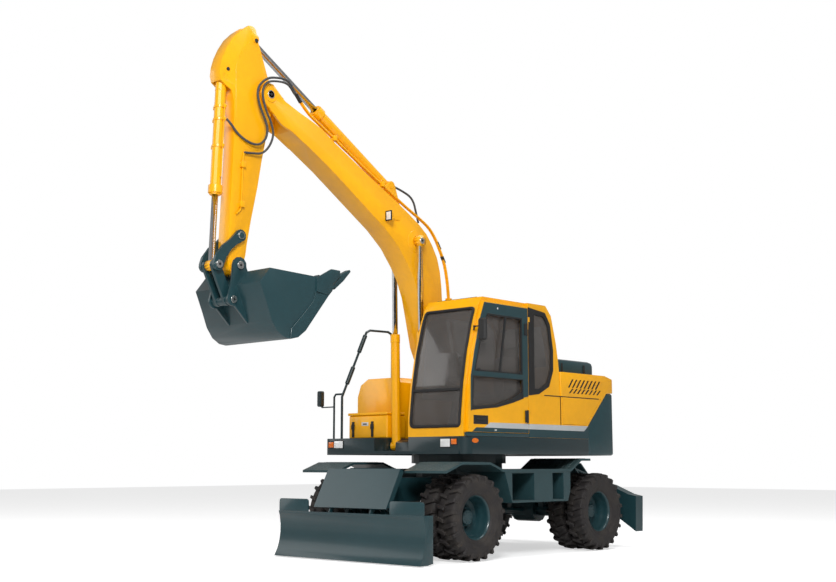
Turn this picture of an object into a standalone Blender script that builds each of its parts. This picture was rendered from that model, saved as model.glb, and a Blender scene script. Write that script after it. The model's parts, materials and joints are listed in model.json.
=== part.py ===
"""A wheeled excavator: twin tyres, dozer blade in front, stabiliser legs behind.

Metres, +Z up. The machine faces -Y and its cab is on the +X side. The model is drawn with the
slewing axis on x = 0, y = 0 and the ground at z = 0, and at the end the whole machine is moved so
that the middle of its footprint box is the origin. Side views are outlines of (y, z) points, plan
views of (x, y) points, and SIDES runs over the left (+1) and the right (-1).
"""
import bpy
import bmesh
import numpy as np
from math import sin, cos, pi, radians, degrees, atan2, hypot
from mathutils import Matrix, Vector

# ------------------------------------------------------------------ driving dimensions
GAP = 0.0003                # between pieces that touch
RUNNING_GAP = 0.0004        # between a pin and its bore, or a rod and its barrel
PLAY = 0.005                # between pieces that move past each other
SIDES = {"left": 1, "right": -1}
ROUND = 12                  # sides of pins, bosses and cylinders

# wheels and axles
WHEELBASE = 2.60
FRONT_AXLE_Y = -1.08
REAR_AXLE_Y = FRONT_AXLE_Y + WHEELBASE
TYRE_RADIUS = 0.515
TYRE_WIDTH = 0.265
TYRE_SIDES = 24
TWIN_GAP = 0.05             # between the two tyres of a pair
OVERALL_HALF = 1.245        # outer face of the outer tyre
BEAD_RADIUS = 0.262
BEAD_HALF = 0.075
LIP_HEIGHT = 0.027
RIM_BORE = 0.235
HUB_RADIUS = 0.14
KINGPIN_X = 0.78
AXLE_Z = TYRE_RADIUS

# chassis
CHASSIS_HALF = 0.36
CHASSIS_FRONT = -1.62
CHASSIS_REAR = REAR_AXLE_Y + 0.70
CHASSIS_LOW = 0.70
CHASSIS_HIGH = 0.98
TURRET_RADIUS = 0.58
SLEW_PLANE = 1.266          # the underside of the revolving frame
FENDER_HALF = 1.24
FENDER_INNER = 0.40
FENDER_NOSE = 0.57          # inner edge of the mudguard in front of the turret
FENDER_PLATE = 0.03
FENDER_DECK = 1.08

# dozer blade
BLADE_HALF = 1.24
BLADE_PLATE = 0.025
BLADE_ARM_PIVOT = Vector((0.0, -1.70, 0.62))
BLADE_LINK = Vector((0.0, -0.22, -0.42))
COVER_PIVOT = Vector((0.0, -1.76, 1.05))
COVER_HALF = 0.62
BLADE_CYLINDER_BASE = (-1.71, 0.64)

# stabiliser legs
LEG_PIVOT_X = 0.33
LEG_PIVOT_Z = 0.75
LEG_Y = (REAR_AXLE_Y + 0.79, REAR_AXLE_Y + 0.97)
LEG_PIN = 0.028

# revolving upper structure
DECK_HALF = 1.2375
DECK_FRONT = -1.31
DECK_REAR = 1.235
DECK_TOP = 1.478
SKIRT = 0.03
TAIL_RADIUS = 2.15          # rear of the counterweight at its middle
TAIL_CORNER = 1.84

# cab
CAB_X = (0.295, 1.19)
CAB_SKIN_X = 1.235
CAB_WALL = 0.045
CAB_FLOOR = 0.05
CAB_REAR = 0.60
PILLAR_B = -0.08
PANE = 0.006
ROOF_TOP = 3.195

# boom, arm, bucket: pins as (y, z)
BOOM_HALF = 0.155
ARM_HALF = 0.09
ARM_BOSS_HALF = 0.12        # where the arm turns on the boom's pin
BOOM_FOOT = (-0.25, 1.85)
BOOM_TIP = (-3.505, 5.39)
BOOM_CYLINDER_X = 0.228
BOOM_CYLINDER_FOOT = (-0.97, 1.38)
BOOM_CYLINDER_PIN = (-1.02, 4.00)
ARM_CYLINDER_BASE = (-1.42, 4.68)
ARM_CYLINDER_PIN = (-3.70, 6.03)
BUCKET_CYLINDER_BASE = (-4.105, 5.47)
ROCKER_PIN = (-3.878, 3.675)
ROCKER_END = (-4.181, 3.313)
BUCKET_PIN = (-3.918, 3.328)
LINK_PIN = (-4.00, 2.938)
BUCKET_HALF = 0.57
BUCKET_PLATE = 0.022
EAR_X = (0.147, 0.175)
ROCKER_X = (0.099, 0.137)
LINK_X = (0.055, 0.090)
PIN_PROUD = 0.014           # how far a pin's end stands out of its eye
ROD_EYE_HALF = 0.045
PIN_RADIUS = 0.035
ARM_PIN_RADIUS = 0.04
ROCKER_OUTER = [(-4.02, 3.62), (-4.13, 3.53), (-4.22, 3.41)]
ROCKER_INNER = [(-4.08, 3.40), (-4.01, 3.50), (-3.93, 3.57)]
BOOM_BARREL = 0.060         # radii of the three big cylinders, and of their rods
ARM_BARREL = 0.068
BUCKET_BARREL = 0.062
BOOM_ROD = 0.036
ARM_ROD = 0.040
BUCKET_ROD = 0.036
COLLAR = 1.03               # a barrel's head against its tube
EYE = 1.05                  # a barrel's foot eye against its tube
FOOT_PIN = 0.55             # a cylinder's foot pin as a share of its barrel's radius

YELLOW = (0.90, 0.46, 0.01)
TEAL = (0.035, 0.085, 0.10)
DARK = (0.02, 0.022, 0.024)
RUBBER = (0.03, 0.028, 0.027)
CHROME = (0.75, 0.76, 0.78)
GLASS = (0.20, 0.23, 0.25)
SEAT_GREY = (0.10, 0.10, 0.11)

# ------------------------------------------------------------------ scene and bodies
for old in list(bpy.data.objects):
    bpy.data.objects.remove(old, do_unlink=True)

PARTS = bpy.data.collections.new("wheeled_excavator")
SHAPES = bpy.data.collections.new("cutters")
for collection in (PARTS, SHAPES):
    bpy.context.scene.collection.children.link(collection)

BODIES = {}


def body(name, pivot=(0.0, 0.0, 0.0), parent=None):
    """An empty on a joint's axis, which carries the pieces that move together."""
    empty = bpy.data.objects.new("axis_" + name, None)
    empty.empty_display_size = 0.1
    PARTS.objects.link(empty)
    pivot = Vector(pivot)
    if parent:
        empty.parent = BODIES[parent][0]
        empty.location = pivot - BODIES[parent][1]
    else:
        empty.location = pivot
    BODIES[name] = (empty, pivot)


def material(name, colour, roughness=0.5, metallic=0.0):
    made = bpy.data.materials.new(name)
    made.use_nodes = True
    shader = made.node_tree.nodes["Principled BSDF"]
    shader.inputs["Base Color"].default_value = (*colour, 1.0)
    shader.inputs["Roughness"].default_value = roughness
    shader.inputs["Metallic"].default_value = metallic
    return made


def node(name, shape, owner, colour, roughness=0.5, metallic=0.0):
    """Names a finished shape, gives it its material and hands it to its body."""
    empty, pivot = BODIES[owner]
    shape.name = name
    shape.data.name = name
    shape.data.transform(Matrix.Translation(-pivot))
    shape.data.materials.clear()
    shape.data.materials.append(material(name + "_finish", colour, roughness, metallic))
    shape.data.shade_smooth()
    shape.data.set_sharp_from_angle(angle=radians(30))
    SHAPES.objects.unlink(shape)
    PARTS.objects.link(shape)
    shape.parent = empty
    shape.hide_render = False
    shape.display_type = "TEXTURED"
    return shape


# ------------------------------------------------------------------ shapes
def hold(name, mesh):
    """A mesh as a working shape: not rendered, and drawn as wire."""
    shape = bpy.data.objects.new(name, mesh)
    SHAPES.objects.link(shape)
    shape.hide_render = True
    shape.display_type = "WIRE"
    return shape


def from_bmesh(bm):
    mesh = bpy.data.meshes.new("shape")
    bm.to_mesh(mesh)
    bm.free()
    return hold("shape", mesh)


def baked(shape, place=Matrix.Identity(4), weld=1e-5):
    """The shape's evaluated mesh, welded and pointing outwards, in place of the shape."""
    bpy.context.view_layer.update()
    seen = shape.evaluated_get(bpy.context.evaluated_depsgraph_get())
    mesh = bpy.data.meshes.new_from_object(seen)
    bm = bmesh.new()
    bm.from_mesh(mesh)
    bmesh.ops.remove_doubles(bm, verts=bm.verts, dist=weld)
    bmesh.ops.transform(bm, matrix=place, verts=bm.verts)
    bmesh.ops.recalc_face_normals(bm, faces=bm.faces)
    bm.to_mesh(mesh)
    bm.free()
    bpy.data.objects.remove(shape, do_unlink=True)
    return hold("shape", mesh)


def block(x, y, z, bevel=0.0, segments=1):
    """A box between two x, two y and two z."""
    bm = bmesh.new()
    bmesh.ops.create_cube(bm, size=1.0)
    low = Vector((min(x), min(y), min(z)))
    high = Vector((max(x), max(y), max(z)))
    bmesh.ops.scale(bm, vec=high - low, verts=bm.verts)
    bmesh.ops.translate(bm, vec=(low + high) / 2, verts=bm.verts)
    if bevel:
        bmesh.ops.bevel(bm, geom=bm.edges[:], offset=bevel, segments=segments, profile=0.5,
                        affect="EDGES", material=-1)
    return from_bmesh(bm)


def bar(start, end, radius, end_radius=None, sides=ROUND, phase=0.0):
    """A round bar or cone between two points, turned about itself by a phase."""
    start, end = Vector(start), Vector(end)
    along = end - start
    bm = bmesh.new()
    bmesh.ops.create_cone(bm, cap_ends=True, segments=sides, radius1=radius,
                          radius2=radius if end_radius is None else end_radius,
                          depth=along.length)
    turn = along.to_track_quat("Z", "Y").to_matrix().to_4x4() @ Matrix.Rotation(phase, 4, "Z")
    bmesh.ops.transform(bm, matrix=Matrix.Translation((start + end) / 2) @ turn, verts=bm.verts)
    return from_bmesh(bm)


def hole(start, end, radius, sides=ROUND):
    """The cutter in which a bar of this radius turns or slides freely, its flats on its corners."""
    return bar(start, end, (radius + RUNNING_GAP) / cos(pi / sides), sides=sides, phase=pi / sides)


def cross_bar(x, point, radius, sides=ROUND):
    """A round bar along X between two x, through a (y, z) point."""
    return bar((min(x), *point), (max(x), *point), radius, sides=sides)


def bore(x, point, radius):
    """The cutter for a hole along X in which a pin of this radius turns freely."""
    return hole((min(x), *point), (max(x), *point), radius)


TURNS = {
    "x": Matrix(((0, 0, 1, 0), (1, 0, 0, 0), (0, 1, 0, 0), (0, 0, 0, 1))),
    "y": Matrix(((1, 0, 0, 0), (0, 0, -1, 0), (0, 1, 0, 0), (0, 0, 0, 1))),
    "z": Matrix.Identity(4),
}


def sheet(across, span, *outlines):
    """Flat outlines made solid between two places on the axis across them.

    Across x the outlines are (y, z) points, across y (x, z) and across z (x, y). The outlines
    after the first are its holes.
    """
    low, high = min(span), max(span)
    curve = bpy.data.curves.new("outline", "CURVE")
    curve.dimensions = "2D"
    curve.fill_mode = "BOTH"
    curve.extrude = (high - low) / 2
    for outline in outlines:
        spline = curve.splines.new("POLY")
        spline.points.add(len(outline) - 1)
        for point, (u, v) in zip(spline.points, outline):
            point.co = (u, v, 0.0, 1.0)
        spline.use_cyclic_u = True
    shape = bpy.data.objects.new("outline", curve)
    SHAPES.objects.link(shape)
    middle = Vector((0.0, 0.0, 0.0))
    middle["xyz".index(across)] = (low + high) / 2
    return baked(shape, Matrix.Translation(middle) @ TURNS[across])


def turned(profile, centre, direction, sides, phase):
    """A closed or axis-to-axis profile of (radius, along) points turned about a direction."""
    bm = bmesh.new()
    points = [bm.verts.new((radius, 0.0, along)) for radius, along in profile]
    for first, second in zip(points, points[1:]):
        bm.edges.new((first, second))
    if min(radius for radius, along in profile) > 0:
        bm.edges.new((points[-1], points[0]))
    shape = from_bmesh(bm)
    screw = shape.modifiers.new("turn", "SCREW")
    screw.axis = "Z"
    screw.angle = 2 * pi
    screw.steps = sides
    screw.render_steps = sides
    screw.use_merge_vertices = True
    screw.merge_threshold = 0.0001
    start = Matrix.Rotation(phase, 4, "Z")
    turn = Vector(direction).to_track_quat("Z", "Y").to_matrix().to_4x4()
    return baked(shape, Matrix.Translation(centre) @ turn @ start)


def tube(points, radius, resolution=1):
    """A bent round tube with flat ends."""
    curve = bpy.data.curves.new("tube", "CURVE")
    curve.dimensions = "3D"
    curve.bevel_depth = radius
    curve.bevel_resolution = resolution
    curve.use_fill_caps = True
    spline = curve.splines.new("POLY")
    spline.points.add(len(points) - 1)
    for point, place in zip(spline.points, points):
        point.co = (*place, 1.0)
    shape = bpy.data.objects.new("tube", curve)
    SHAPES.objects.link(shape)
    return baked(shape)


def combined(operation, base, others):
    for other in others:
        step = base.modifiers.new(operation.lower(), "BOOLEAN")
        step.operation = operation
        step.solver = "EXACT"
        step.object = other
    made = baked(base)
    for other in others:
        bpy.data.objects.remove(other, do_unlink=True)
    return made


def joined(base, *others):
    return combined("UNION", base, others)


def cut(base, *others):
    return combined("DIFFERENCE", base, others)


def common(base, *others):
    return combined("INTERSECT", base, others)


def arc(centre, radius, start, end, steps=4):
    """Points on an arc between two angles in degrees."""
    return [(centre[0] + radius * cos(radians(start + (end - start) * i / steps)),
             centre[1] + radius * sin(radians(start + (end - start) * i / steps)))
            for i in range(steps + 1)]


def rounded(outline, radius, steps=3):
    """The outline with each corner rounded off."""
    made = []
    count = len(outline)
    for i, corner in enumerate(outline):
        here = Vector(corner)
        before = (Vector(outline[i - 1]) - here)
        after = (Vector(outline[(i + 1) % count]) - here)
        reach = min(radius, before.length * 0.45, after.length * 0.45)
        start = here + before.normalized() * reach
        end = here + after.normalized() * reach
        for k in range(steps + 1):
            t = k / steps
            point = start * (1 - t) ** 2 + here * 2 * t * (1 - t) + end * t ** 2
            made.append((point.x, point.y))
    return made


def between(first, second, share):
    return tuple(a + (b - a) * share for a, b in zip(first, second))


def polar(point, centre):
    return hypot(point[0] - centre[0], point[1] - centre[1])


# ------------------------------------------------------------------ wheels and axles
OUTER_TYRE_X = OVERALL_HALF - TYRE_WIDTH / 2
INNER_TYRE_X = OUTER_TYRE_X - TYRE_WIDTH - TWIN_GAP
HUB_END_X = INNER_TYRE_X + 0.158    # where the hub meets its spindle


def tyre_pair():
    """Both tyres of a pair with the rubber ring between them, as one closed profile."""
    radius = TYRE_RADIUS / cos(pi / TYRE_SIDES)
    half = TYRE_WIDTH / 2
    flank = [(BEAD_RADIUS, BEAD_HALF), (BEAD_RADIUS + LIP_HEIGHT + 0.003, BEAD_HALF),
             (0.38, half), (radius - 0.03, half - 0.012),
             (radius, half - 0.035)]
    ring = [(0.40, half), (0.36, half - 0.006)]
    outer_side = [(r, OUTER_TYRE_X + h) for r, h in flank]
    outer_back = [(r, OUTER_TYRE_X - h) for r, h in reversed(flank[3:])]
    inner_front = [(r, INNER_TYRE_X + h) for r, h in flank[3:]]
    inner_back = [(r, INNER_TYRE_X - h) for r, h in reversed(flank)]
    bead_in = [(r, INNER_TYRE_X + h) for r, h in flank[:2]]
    bead_out = [(r, OUTER_TYRE_X - h) for r, h in reversed(flank[:2])]
    band_top = [(ring[0][0] + 0.01, OUTER_TYRE_X - half), (ring[0][0] + 0.01, INNER_TYRE_X + half)]
    band_low = [(ring[1][0], INNER_TYRE_X + ring[1][1]), (ring[1][0], OUTER_TYRE_X - ring[1][1])]
    return (outer_side + outer_back + band_top + inner_front + inner_back
            + bead_in + band_low + bead_out)


def rim_pair():
    """Twin rims, their disc and the hub, from the axis outside to the axis inside."""
    seat = BEAD_RADIUS - GAP
    lip = BEAD_RADIUS + LIP_HEIGHT
    out, back = OUTER_TYRE_X + BEAD_HALF + GAP, OUTER_TYRE_X - BEAD_HALF - GAP
    front, inner = INNER_TYRE_X + BEAD_HALF + GAP, INNER_TYRE_X - BEAD_HALF - GAP
    return [(0.0, out - 0.01), (HUB_RADIUS - 0.03, out - 0.01), (HUB_RADIUS, out - 0.04),
            (HUB_RADIUS, out - 0.15), (RIM_BORE, out - 0.15), (RIM_BORE, out + 0.012),
            (lip, out + 0.012), (lip, out), (seat, out), (seat, back), (lip, back),
            (lip, back - 0.015), (seat, back - 0.03), (seat, front + 0.03), (lip, front + 0.015),
            (lip, front), (seat, front), (seat, inner), (lip, inner), (lip, inner - 0.012),
            (RIM_BORE, inner - 0.012), (RIM_BORE, HUB_END_X + 0.04), (HUB_RADIUS, HUB_END_X + 0.02),
            (HUB_RADIUS, HUB_END_X + 0.001), (0.0, HUB_END_X + 0.001)]


def wheel_pair(end, side_name, side, axle_y, owner):
    centre = (0.0, axle_y, AXLE_Z)
    axis = (side, 0.0, 0.0)
    where = end + "_" + side_name
    flat_down = pi / TYRE_SIDES
    tyres = turned(tyre_pair(), centre, axis, TYRE_SIDES, flat_down)
    rims = turned(rim_pair(), centre, axis, TYRE_SIDES // 2, flat_down)
    node("twin_tyres_" + where, tyres, owner, RUBBER, 0.9)
    node("twin_rims_" + where, rims, owner, TEAL, 0.45)


def rear_axle():
    """A beam with a differential, and a flange at each end that carries the wheels."""
    y, z = REAR_AXLE_Y, AXLE_Z
    end = HUB_END_X
    pads = [block((side * 0.22, side * 0.32), (y - 0.08, y + 0.08), (z, CHASSIS_LOW - GAP))
            for side in SIDES.values()]
    return joined(bar((-end, y, z), (end, y, z), 0.085),
                  bar((-0.19, y, z), (0.19, y, z), 0.165),
                  *[bar((side * (end - 0.05), y, z), (side * end, y, z), HUB_RADIUS - 0.01)
                    for side in SIDES.values()],
                  *pads)


def front_axle():
    """A steering axle whose ends are forks that hold the knuckles' kingpins."""
    y, z = FRONT_AXLE_Y, AXLE_Z
    fork = 0.165
    beam = [block((-0.68, 0.68), (y - 0.07, y + 0.07), (z - 0.075, z + 0.075)),
            bar((-0.17, y, z), (0.17, y, z), 0.155),
            block((-0.20, 0.20), (y - 0.10, y + 0.10), (z, CHASSIS_LOW - GAP))]
    for side in SIDES.values():
        beam.append(block((side * 0.62, side * 0.69), (y - 0.06, y + 0.06), (z - fork, z + fork)))
        for low in (-fork, fork - 0.035):
            beam.append(block((side * 0.64, side * (KINGPIN_X + 0.05)), (y - 0.05, y + 0.05),
                              (z + low, z + low + 0.035)))
    return joined(*beam)


def knuckle(side):
    """The kingpin between the fork's arms, and the spindle flange on which the hub turns."""
    y, z = FRONT_AXLE_Y, AXLE_Z
    inside = 0.165 - 0.035 - GAP
    return joined(bar((side * KINGPIN_X, y, z - inside), (side * KINGPIN_X, y, z + inside), 0.05),
                  bar((side * KINGPIN_X, y, z), (side * HUB_END_X, y, z), 0.085),
                  bar((side * (HUB_END_X - 0.04), y, z), (side * HUB_END_X, y, z), 0.11))


def drive_line():
    """The gearbox under the chassis and the shafts to both axles."""
    z = AXLE_Z
    shaft = 0.035
    return joined(block((-0.16, 0.16), (-0.15, 0.35), (0.40, CHASSIS_LOW - GAP), bevel=0.02),
                  bar((0.0, FRONT_AXLE_Y + 0.16, z), (0.0, 0.0, z), shaft),
                  bar((0.0, 0.1, z), (0.0, REAR_AXLE_Y - 0.17, z), shaft))


# ------------------------------------------------------------------ chassis
def chassis_frame():
    """A welded box with the slewing turret, blade brackets in front and leg brackets behind."""
    half = CHASSIS_HALF
    pieces = [
        block((-half, half), (CHASSIS_FRONT, CHASSIS_REAR), (CHASSIS_LOW, CHASSIS_HIGH)),
        bar((0, 0, CHASSIS_HIGH - 0.02), (0, 0, SLEW_PLANE - 0.10), TURRET_RADIUS, sides=24),
        bar((0, 0, SLEW_PLANE - 0.11), (0, 0, SLEW_PLANE - GAP), TURRET_RADIUS + 0.05, sides=24),
        block((-0.75, 0.75), (-0.45, -0.30), (0.90, FENDER_DECK - FENDER_PLATE - GAP)),
        block((-0.75, 0.75), (0.55, 0.70), (0.90, FENDER_DECK - FENDER_PLATE - GAP)),
        block((-0.38, 0.38), (CHASSIS_FRONT - 0.03, CHASSIS_FRONT), (0.50, 1.10)),
    ]
    for side in SIDES.values():
        for x in (0.255, 0.365):
            pieces.append(sheet("x", (side * (x - 0.012), side * (x + 0.012)), [
                (CHASSIS_FRONT, 0.52), (CHASSIS_FRONT - 0.06, 0.55), (-1.76, 0.59),
                (-1.76, 0.66), (CHASSIS_FRONT, 0.78)]))
        pieces.append(sheet("x", (side * 0.26, side * 0.29), [
            (CHASSIS_FRONT, 1.08), (CHASSIS_FRONT, 0.97)] + arc(COVER_PIVOT.yz, PIN_RADIUS - 0.007, 260, 90)))
        pieces.append(sheet("x", (side * 0.06, side * 0.08), [
            (CHASSIS_FRONT + 0.01, 0.52), (-1.76, 0.56), (-1.76, 0.70), (CHASSIS_FRONT + 0.01, 0.76)]))
    for y in (LEG_Y[0] - PLAY - 0.03, LEG_Y[1] + PLAY):
        pieces.append(sheet("y", (y, y + 0.03), [
            (-0.46, 0.60), (0.46, 0.60), (0.46, 0.86), (0.22, 1.16), (-0.22, 1.16), (-0.46, 0.86)]))
    pieces.append(block((-0.20, 0.20), (CHASSIS_REAR - 0.02, LEG_Y[1] + 0.02), (0.66, 0.94)))
    frame = joined(*pieces)
    cutters = []
    for side in SIDES.values():
        cutters.append(bore((side * 0.2, side * 0.42), BLADE_ARM_PIVOT.yz, PIN_RADIUS - 0.01))
        cutters.append(bore((side * 0.2, side * 0.42), COVER_PIVOT.yz, PIN_RADIUS - 0.015))
        for x, z in ((LEG_PIVOT_X, LEG_PIVOT_Z), (0.12, 1.08)):
            cutters.append(hole((side * x, LEG_Y[0] - 0.1, z), (side * x, LEG_Y[1] + 0.1, z),
                                LEG_PIN))
    cutters.append(bore((-0.1, 0.1), BLADE_CYLINDER_BASE, 0.03 * FOOT_PIN))
    return cut(frame, *cutters)


def fender(side):
    """One weldment on each side: front fender, deck with the step box, and rear fender."""
    top = [(-1.67, 1.07), (-1.39, 1.17), (-0.86, 1.17), (-0.60, FENDER_DECK), (0.82, FENDER_DECK),
           (1.06, 1.22), (1.27, 1.22)]
    low = [(y, z - FENDER_PLATE) for y, z in reversed(top)]
    cover = sheet("x", (side * FENDER_INNER, side * FENDER_HALF), top + low)
    box = sheet("x", (side * 0.80, side * (FENDER_HALF - 0.005)), [
        (-0.583, FENDER_DECK - 0.01), (-0.43, 0.673), (0.745, 0.673), (0.80, 0.80),
        (0.807, FENDER_DECK - 0.01)])
    shape = joined(cover, box)
    nose = block((0.0, side * FENDER_NOSE), (-2.2, -0.52), (0.9, 1.3))
    turret = bar((0, 0, 0.9), (0, 0, 1.3), TURRET_RADIUS + 0.01, sides=24)
    steps = [block((side * 0.86, side * 1.3), span, (0.70, 1.035))
             for span in ((-0.43, 0.02), (0.41, 0.65))]
    return cut(shape, nose, turret, *steps)


def blade_arms():
    """Two lower arms on one cross tube, which carry the blade."""
    start, end = BLADE_ARM_PIVOT, BLADE_ARM_PIVOT + BLADE_LINK
    across = 0.05
    pieces = []
    for side in SIDES.values():
        pieces.append(bar((side * 0.275, start.y, start.z), (side * 0.345, start.y, start.z), 0.05))
        pieces.append(bar((side * 0.275, end.y, end.z), (side * 0.345, end.y, end.z), 0.05))
        pieces.append(bar((side * 0.24, start.y, start.z), (side * 0.38, start.y, start.z),
                          PIN_RADIUS - 0.01))
        way = BLADE_LINK.normalized()
        aside = Vector((0.0, -way.z, way.y)) * 0.04
        corners = [start + aside, end + aside, end - aside, start - aside]
        pieces.append(sheet("x", (side * 0.28, side * 0.34), [tuple(c.yz) for c in corners]))
    middle = BLADE_ARM_PIVOT + BLADE_LINK * 0.5
    return joined(bar((-0.30, middle.y, middle.z), (0.30, middle.y, middle.z), across), *pieces)


def blade_cover():
    """The wide upper link of the blade, a plate that shields the blade's cylinder."""
    top, low = COVER_PIVOT, COVER_PIVOT + BLADE_LINK
    way = BLADE_LINK.normalized()
    out = Vector((0.0, way.z, -way.y)) * 0.05
    skin = out * 0.7
    corners = [top + out - way * 0.02, low + out + way * 0.03, low + skin + way * 0.03,
               top + skin - way * 0.02]
    pieces = [sheet("x", (-COVER_HALF, COVER_HALF), [tuple(c.yz) for c in corners])]
    for side in SIDES.values():
        for near, far in ((0.30, 0.33), (COVER_HALF - 0.02, COVER_HALF)):
            rib = [top + out * 0.9 - way * 0.02, low + out * 0.9, low - out * 0.4,
                   top - out * 0.4 - way * 0.02]
            pieces.append(sheet("x", (side * near, side * far), [tuple(c.yz) for c in rib]))
        pieces.append(bar((side * 0.255, top.y, top.z), (side * 0.32, top.y, top.z),
                          PIN_RADIUS - 0.015))
        pieces.append(bar((side * 0.32, low.y, low.z), (side * 0.41, low.y, low.z),
                          PIN_RADIUS - 0.015))
        lug = between(top, low, 0.78)
        lug = Vector(lug)
        corners = [lug + out * 0.85 - way * 0.05, lug + out * 0.85 + way * 0.05,
                   lug - out * 0.7 + way * 0.03, lug - out * 0.7 - way * 0.03]
        pieces.append(sheet("x", (side * 0.035, side * 0.055), [tuple(c.yz) for c in corners]))
    return joined(*pieces)


BLADE_ARC = [(-2.13, 0.012), (-2.083, 0.10), (-2.05, 0.20), (-2.035, 0.30), (-2.035, 0.40),
             (-2.05, 0.50), (-2.07, 0.567)]


def dozer_blade():
    """The curved mouldboard with end plates, top wings and the brackets behind it."""
    back = [(y + BLADE_PLATE, z) for y, z in reversed(BLADE_ARC)]
    pieces = [sheet("x", (-BLADE_HALF, BLADE_HALF), BLADE_ARC + back)]
    end = BLADE_ARC + [(-1.905, 0.567), (-1.905, 0.03), (-2.0, 0.012)]
    for side in SIDES.values():
        pieces.append(sheet("x", (side * (BLADE_HALF - 0.02), side * BLADE_HALF), end))
        pieces.append(sheet("y", (-2.062, -2.045), rounded([
            (side * 0.70, 0.54), (side * 1.235, 0.54), (side * 1.235, 0.72), (side * 0.70, 0.72)],
            0.04)))
        pieces.append(block((side * 0.70, side * 1.2), (-2.05, -1.99), (0.50, 0.545)))
        foot = BLADE_ARM_PIVOT + BLADE_LINK
        for x in (0.26, 0.36):
            pieces.append(sheet("x", (side * (x - 0.01), side * (x + 0.01)), [
                (-2.02, 0.12)] + arc((foot.y, foot.z), 0.05, -60, 90) + [(-2.02, 0.34)]))
        top = COVER_PIVOT + BLADE_LINK
        pieces.append(sheet("x", (side * 0.34, side * 0.36), [
            (-2.03, 0.48)] + arc((top.y, top.z), PIN_RADIUS - 0.007, -30, 170) + [(-2.04, 0.56)]))
    pieces.append(block((-1.225, 1.225), (-2.02, -1.985), (0.14, 0.34)))
    shape = joined(*pieces)
    foot = BLADE_ARM_PIVOT + BLADE_LINK
    top = COVER_PIVOT + BLADE_LINK
    return cut(shape, *[bore((side * 0.2, side * 0.42), (top.y, top.z), PIN_RADIUS - 0.015)
                        for side in SIDES.values()])


# ------------------------------------------------------------------ hydraulic cylinders
def cylinder_barrel(x, base, pin, reach, radius, rod, pin_half, eye_half):
    """A barrel open at its head, with the eye and pin at its base. Ends are (y, z) points."""
    length = polar(pin, base)
    head = between(base, pin, reach / length)
    floor = between(base, pin, 0.09 / length)
    collar = between(base, pin, (reach - 0.07) / length)
    foot = between(base, pin, 0.02 / length)
    shape = joined(bar((x, *foot), (x, *head), radius),
                   bar((x, *collar), (x, *head), radius * COLLAR),
                   cross_bar((x - eye_half, x + eye_half), base, radius * EYE),
                   cross_bar((x - pin_half, x + pin_half), base, radius * FOOT_PIN))
    beyond = between(base, pin, (reach + 0.05) / length)
    return cut(shape, hole((x, *floor), (x, *beyond), rod))


def cylinder_rod(x, base, pin, inner, rod, eye_radius, eye_half):
    """A rod with the eye at its outer end, reaching into its barrel."""
    length = polar(pin, base)
    start = between(base, pin, inner / length)
    return joined(bar((x, *start), (x, *pin), rod),
                  cross_bar((x - eye_half, x + eye_half), pin, eye_radius))


# ------------------------------------------------------------------ revolving upper structure
def deck_plan(front, rear):
    """The deck's outline from above, with rounded front corners."""
    return (arc((DECK_HALF - 0.12, front + 0.12), 0.12, -90, 0)
            + [(DECK_HALF, rear), (-DECK_HALF, rear)]
            + arc((-DECK_HALF + 0.12, front + 0.12), 0.12, 180, 270))


def tail_plan(front, inset=0.0):
    """The tail's outline from above: straight sides, then a curved rear."""
    half = DECK_HALF - inset
    count = 8
    rear = []
    for i in range(count + 1):
        x = half * (1 - 2 * i / count)
        y = TAIL_CORNER + (TAIL_RADIUS - TAIL_CORNER) * (1 - (x / half) ** 2) - inset
        rear.append((x, y))
    return [(half, front)] + rear + [(-half, front)]


def upper_frame():
    """A deck with skirts, open in front for the boom cylinders, and the boom's brackets."""
    low = SLEW_PLANE
    deck = sheet("z", (low, DECK_TOP), deck_plan(DECK_FRONT, DECK_REAR))
    inner = sheet("z", (low - 0.1, DECK_TOP - 0.035), [
        (DECK_HALF - SKIRT, DECK_FRONT + SKIRT + 0.09), (DECK_HALF - SKIRT, DECK_REAR - SKIRT),
        (-DECK_HALF + SKIRT, DECK_REAR - SKIRT), (-DECK_HALF + SKIRT, DECK_FRONT + SKIRT + 0.09),
        (-DECK_HALF + 0.12, DECK_FRONT + SKIRT), (DECK_HALF - 0.12, DECK_FRONT + SKIRT)])
    core = joined(bar((0, 0, low), (0, 0, DECK_TOP - 0.02), TURRET_RADIUS + 0.04, sides=24),
                  block((-0.42, 0.42), (DECK_FRONT + 0.005, DECK_REAR - 0.01), (low + 0.01, DECK_TOP - 0.01)))
    frame = joined(cut(deck, inner), core)
    well_half = BOOM_CYLINDER_X + BOOM_BARREL * EYE + PLAY + 0.002
    well = block((-well_half, well_half), (DECK_FRONT - 0.1, -0.62), (low + 0.045, DECK_TOP + 0.1))
    frame = cut(frame, well)
    plates = []
    for side in SIDES.values():
        plates.append(sheet("x", (side * 0.165, side * 0.195), [
            (-0.62, DECK_TOP - 0.1), (-0.56, DECK_TOP + 0.12)]
            + arc(BOOM_FOOT, 0.12, 170, 20, 5) + [(0.55, DECK_TOP - 0.1)]))
        plates.append(block((side * (well_half - 0.004), side * (well_half + 0.04)), (-1.10, -0.60),
                            (low + 0.01, DECK_TOP)))
    foot = BOOM_CYLINDER_FOOT
    plates.append(sheet("x", (-0.155, 0.155), [
        (foot[0] - 0.10, low + 0.02), (foot[0] - 0.09, foot[1] + 0.04), (foot[0], foot[1] + 0.08),
        (foot[0] + 0.30, DECK_TOP - 0.02), (-0.55, DECK_TOP - 0.02), (-0.55, low + 0.02)]))
    frame = joined(frame, *plates)
    return cut(frame, bore((-0.4, 0.4), BOOM_FOOT, 0.045),
               bore((-0.40, 0.40), foot, BOOM_BARREL * FOOT_PIN))


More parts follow.
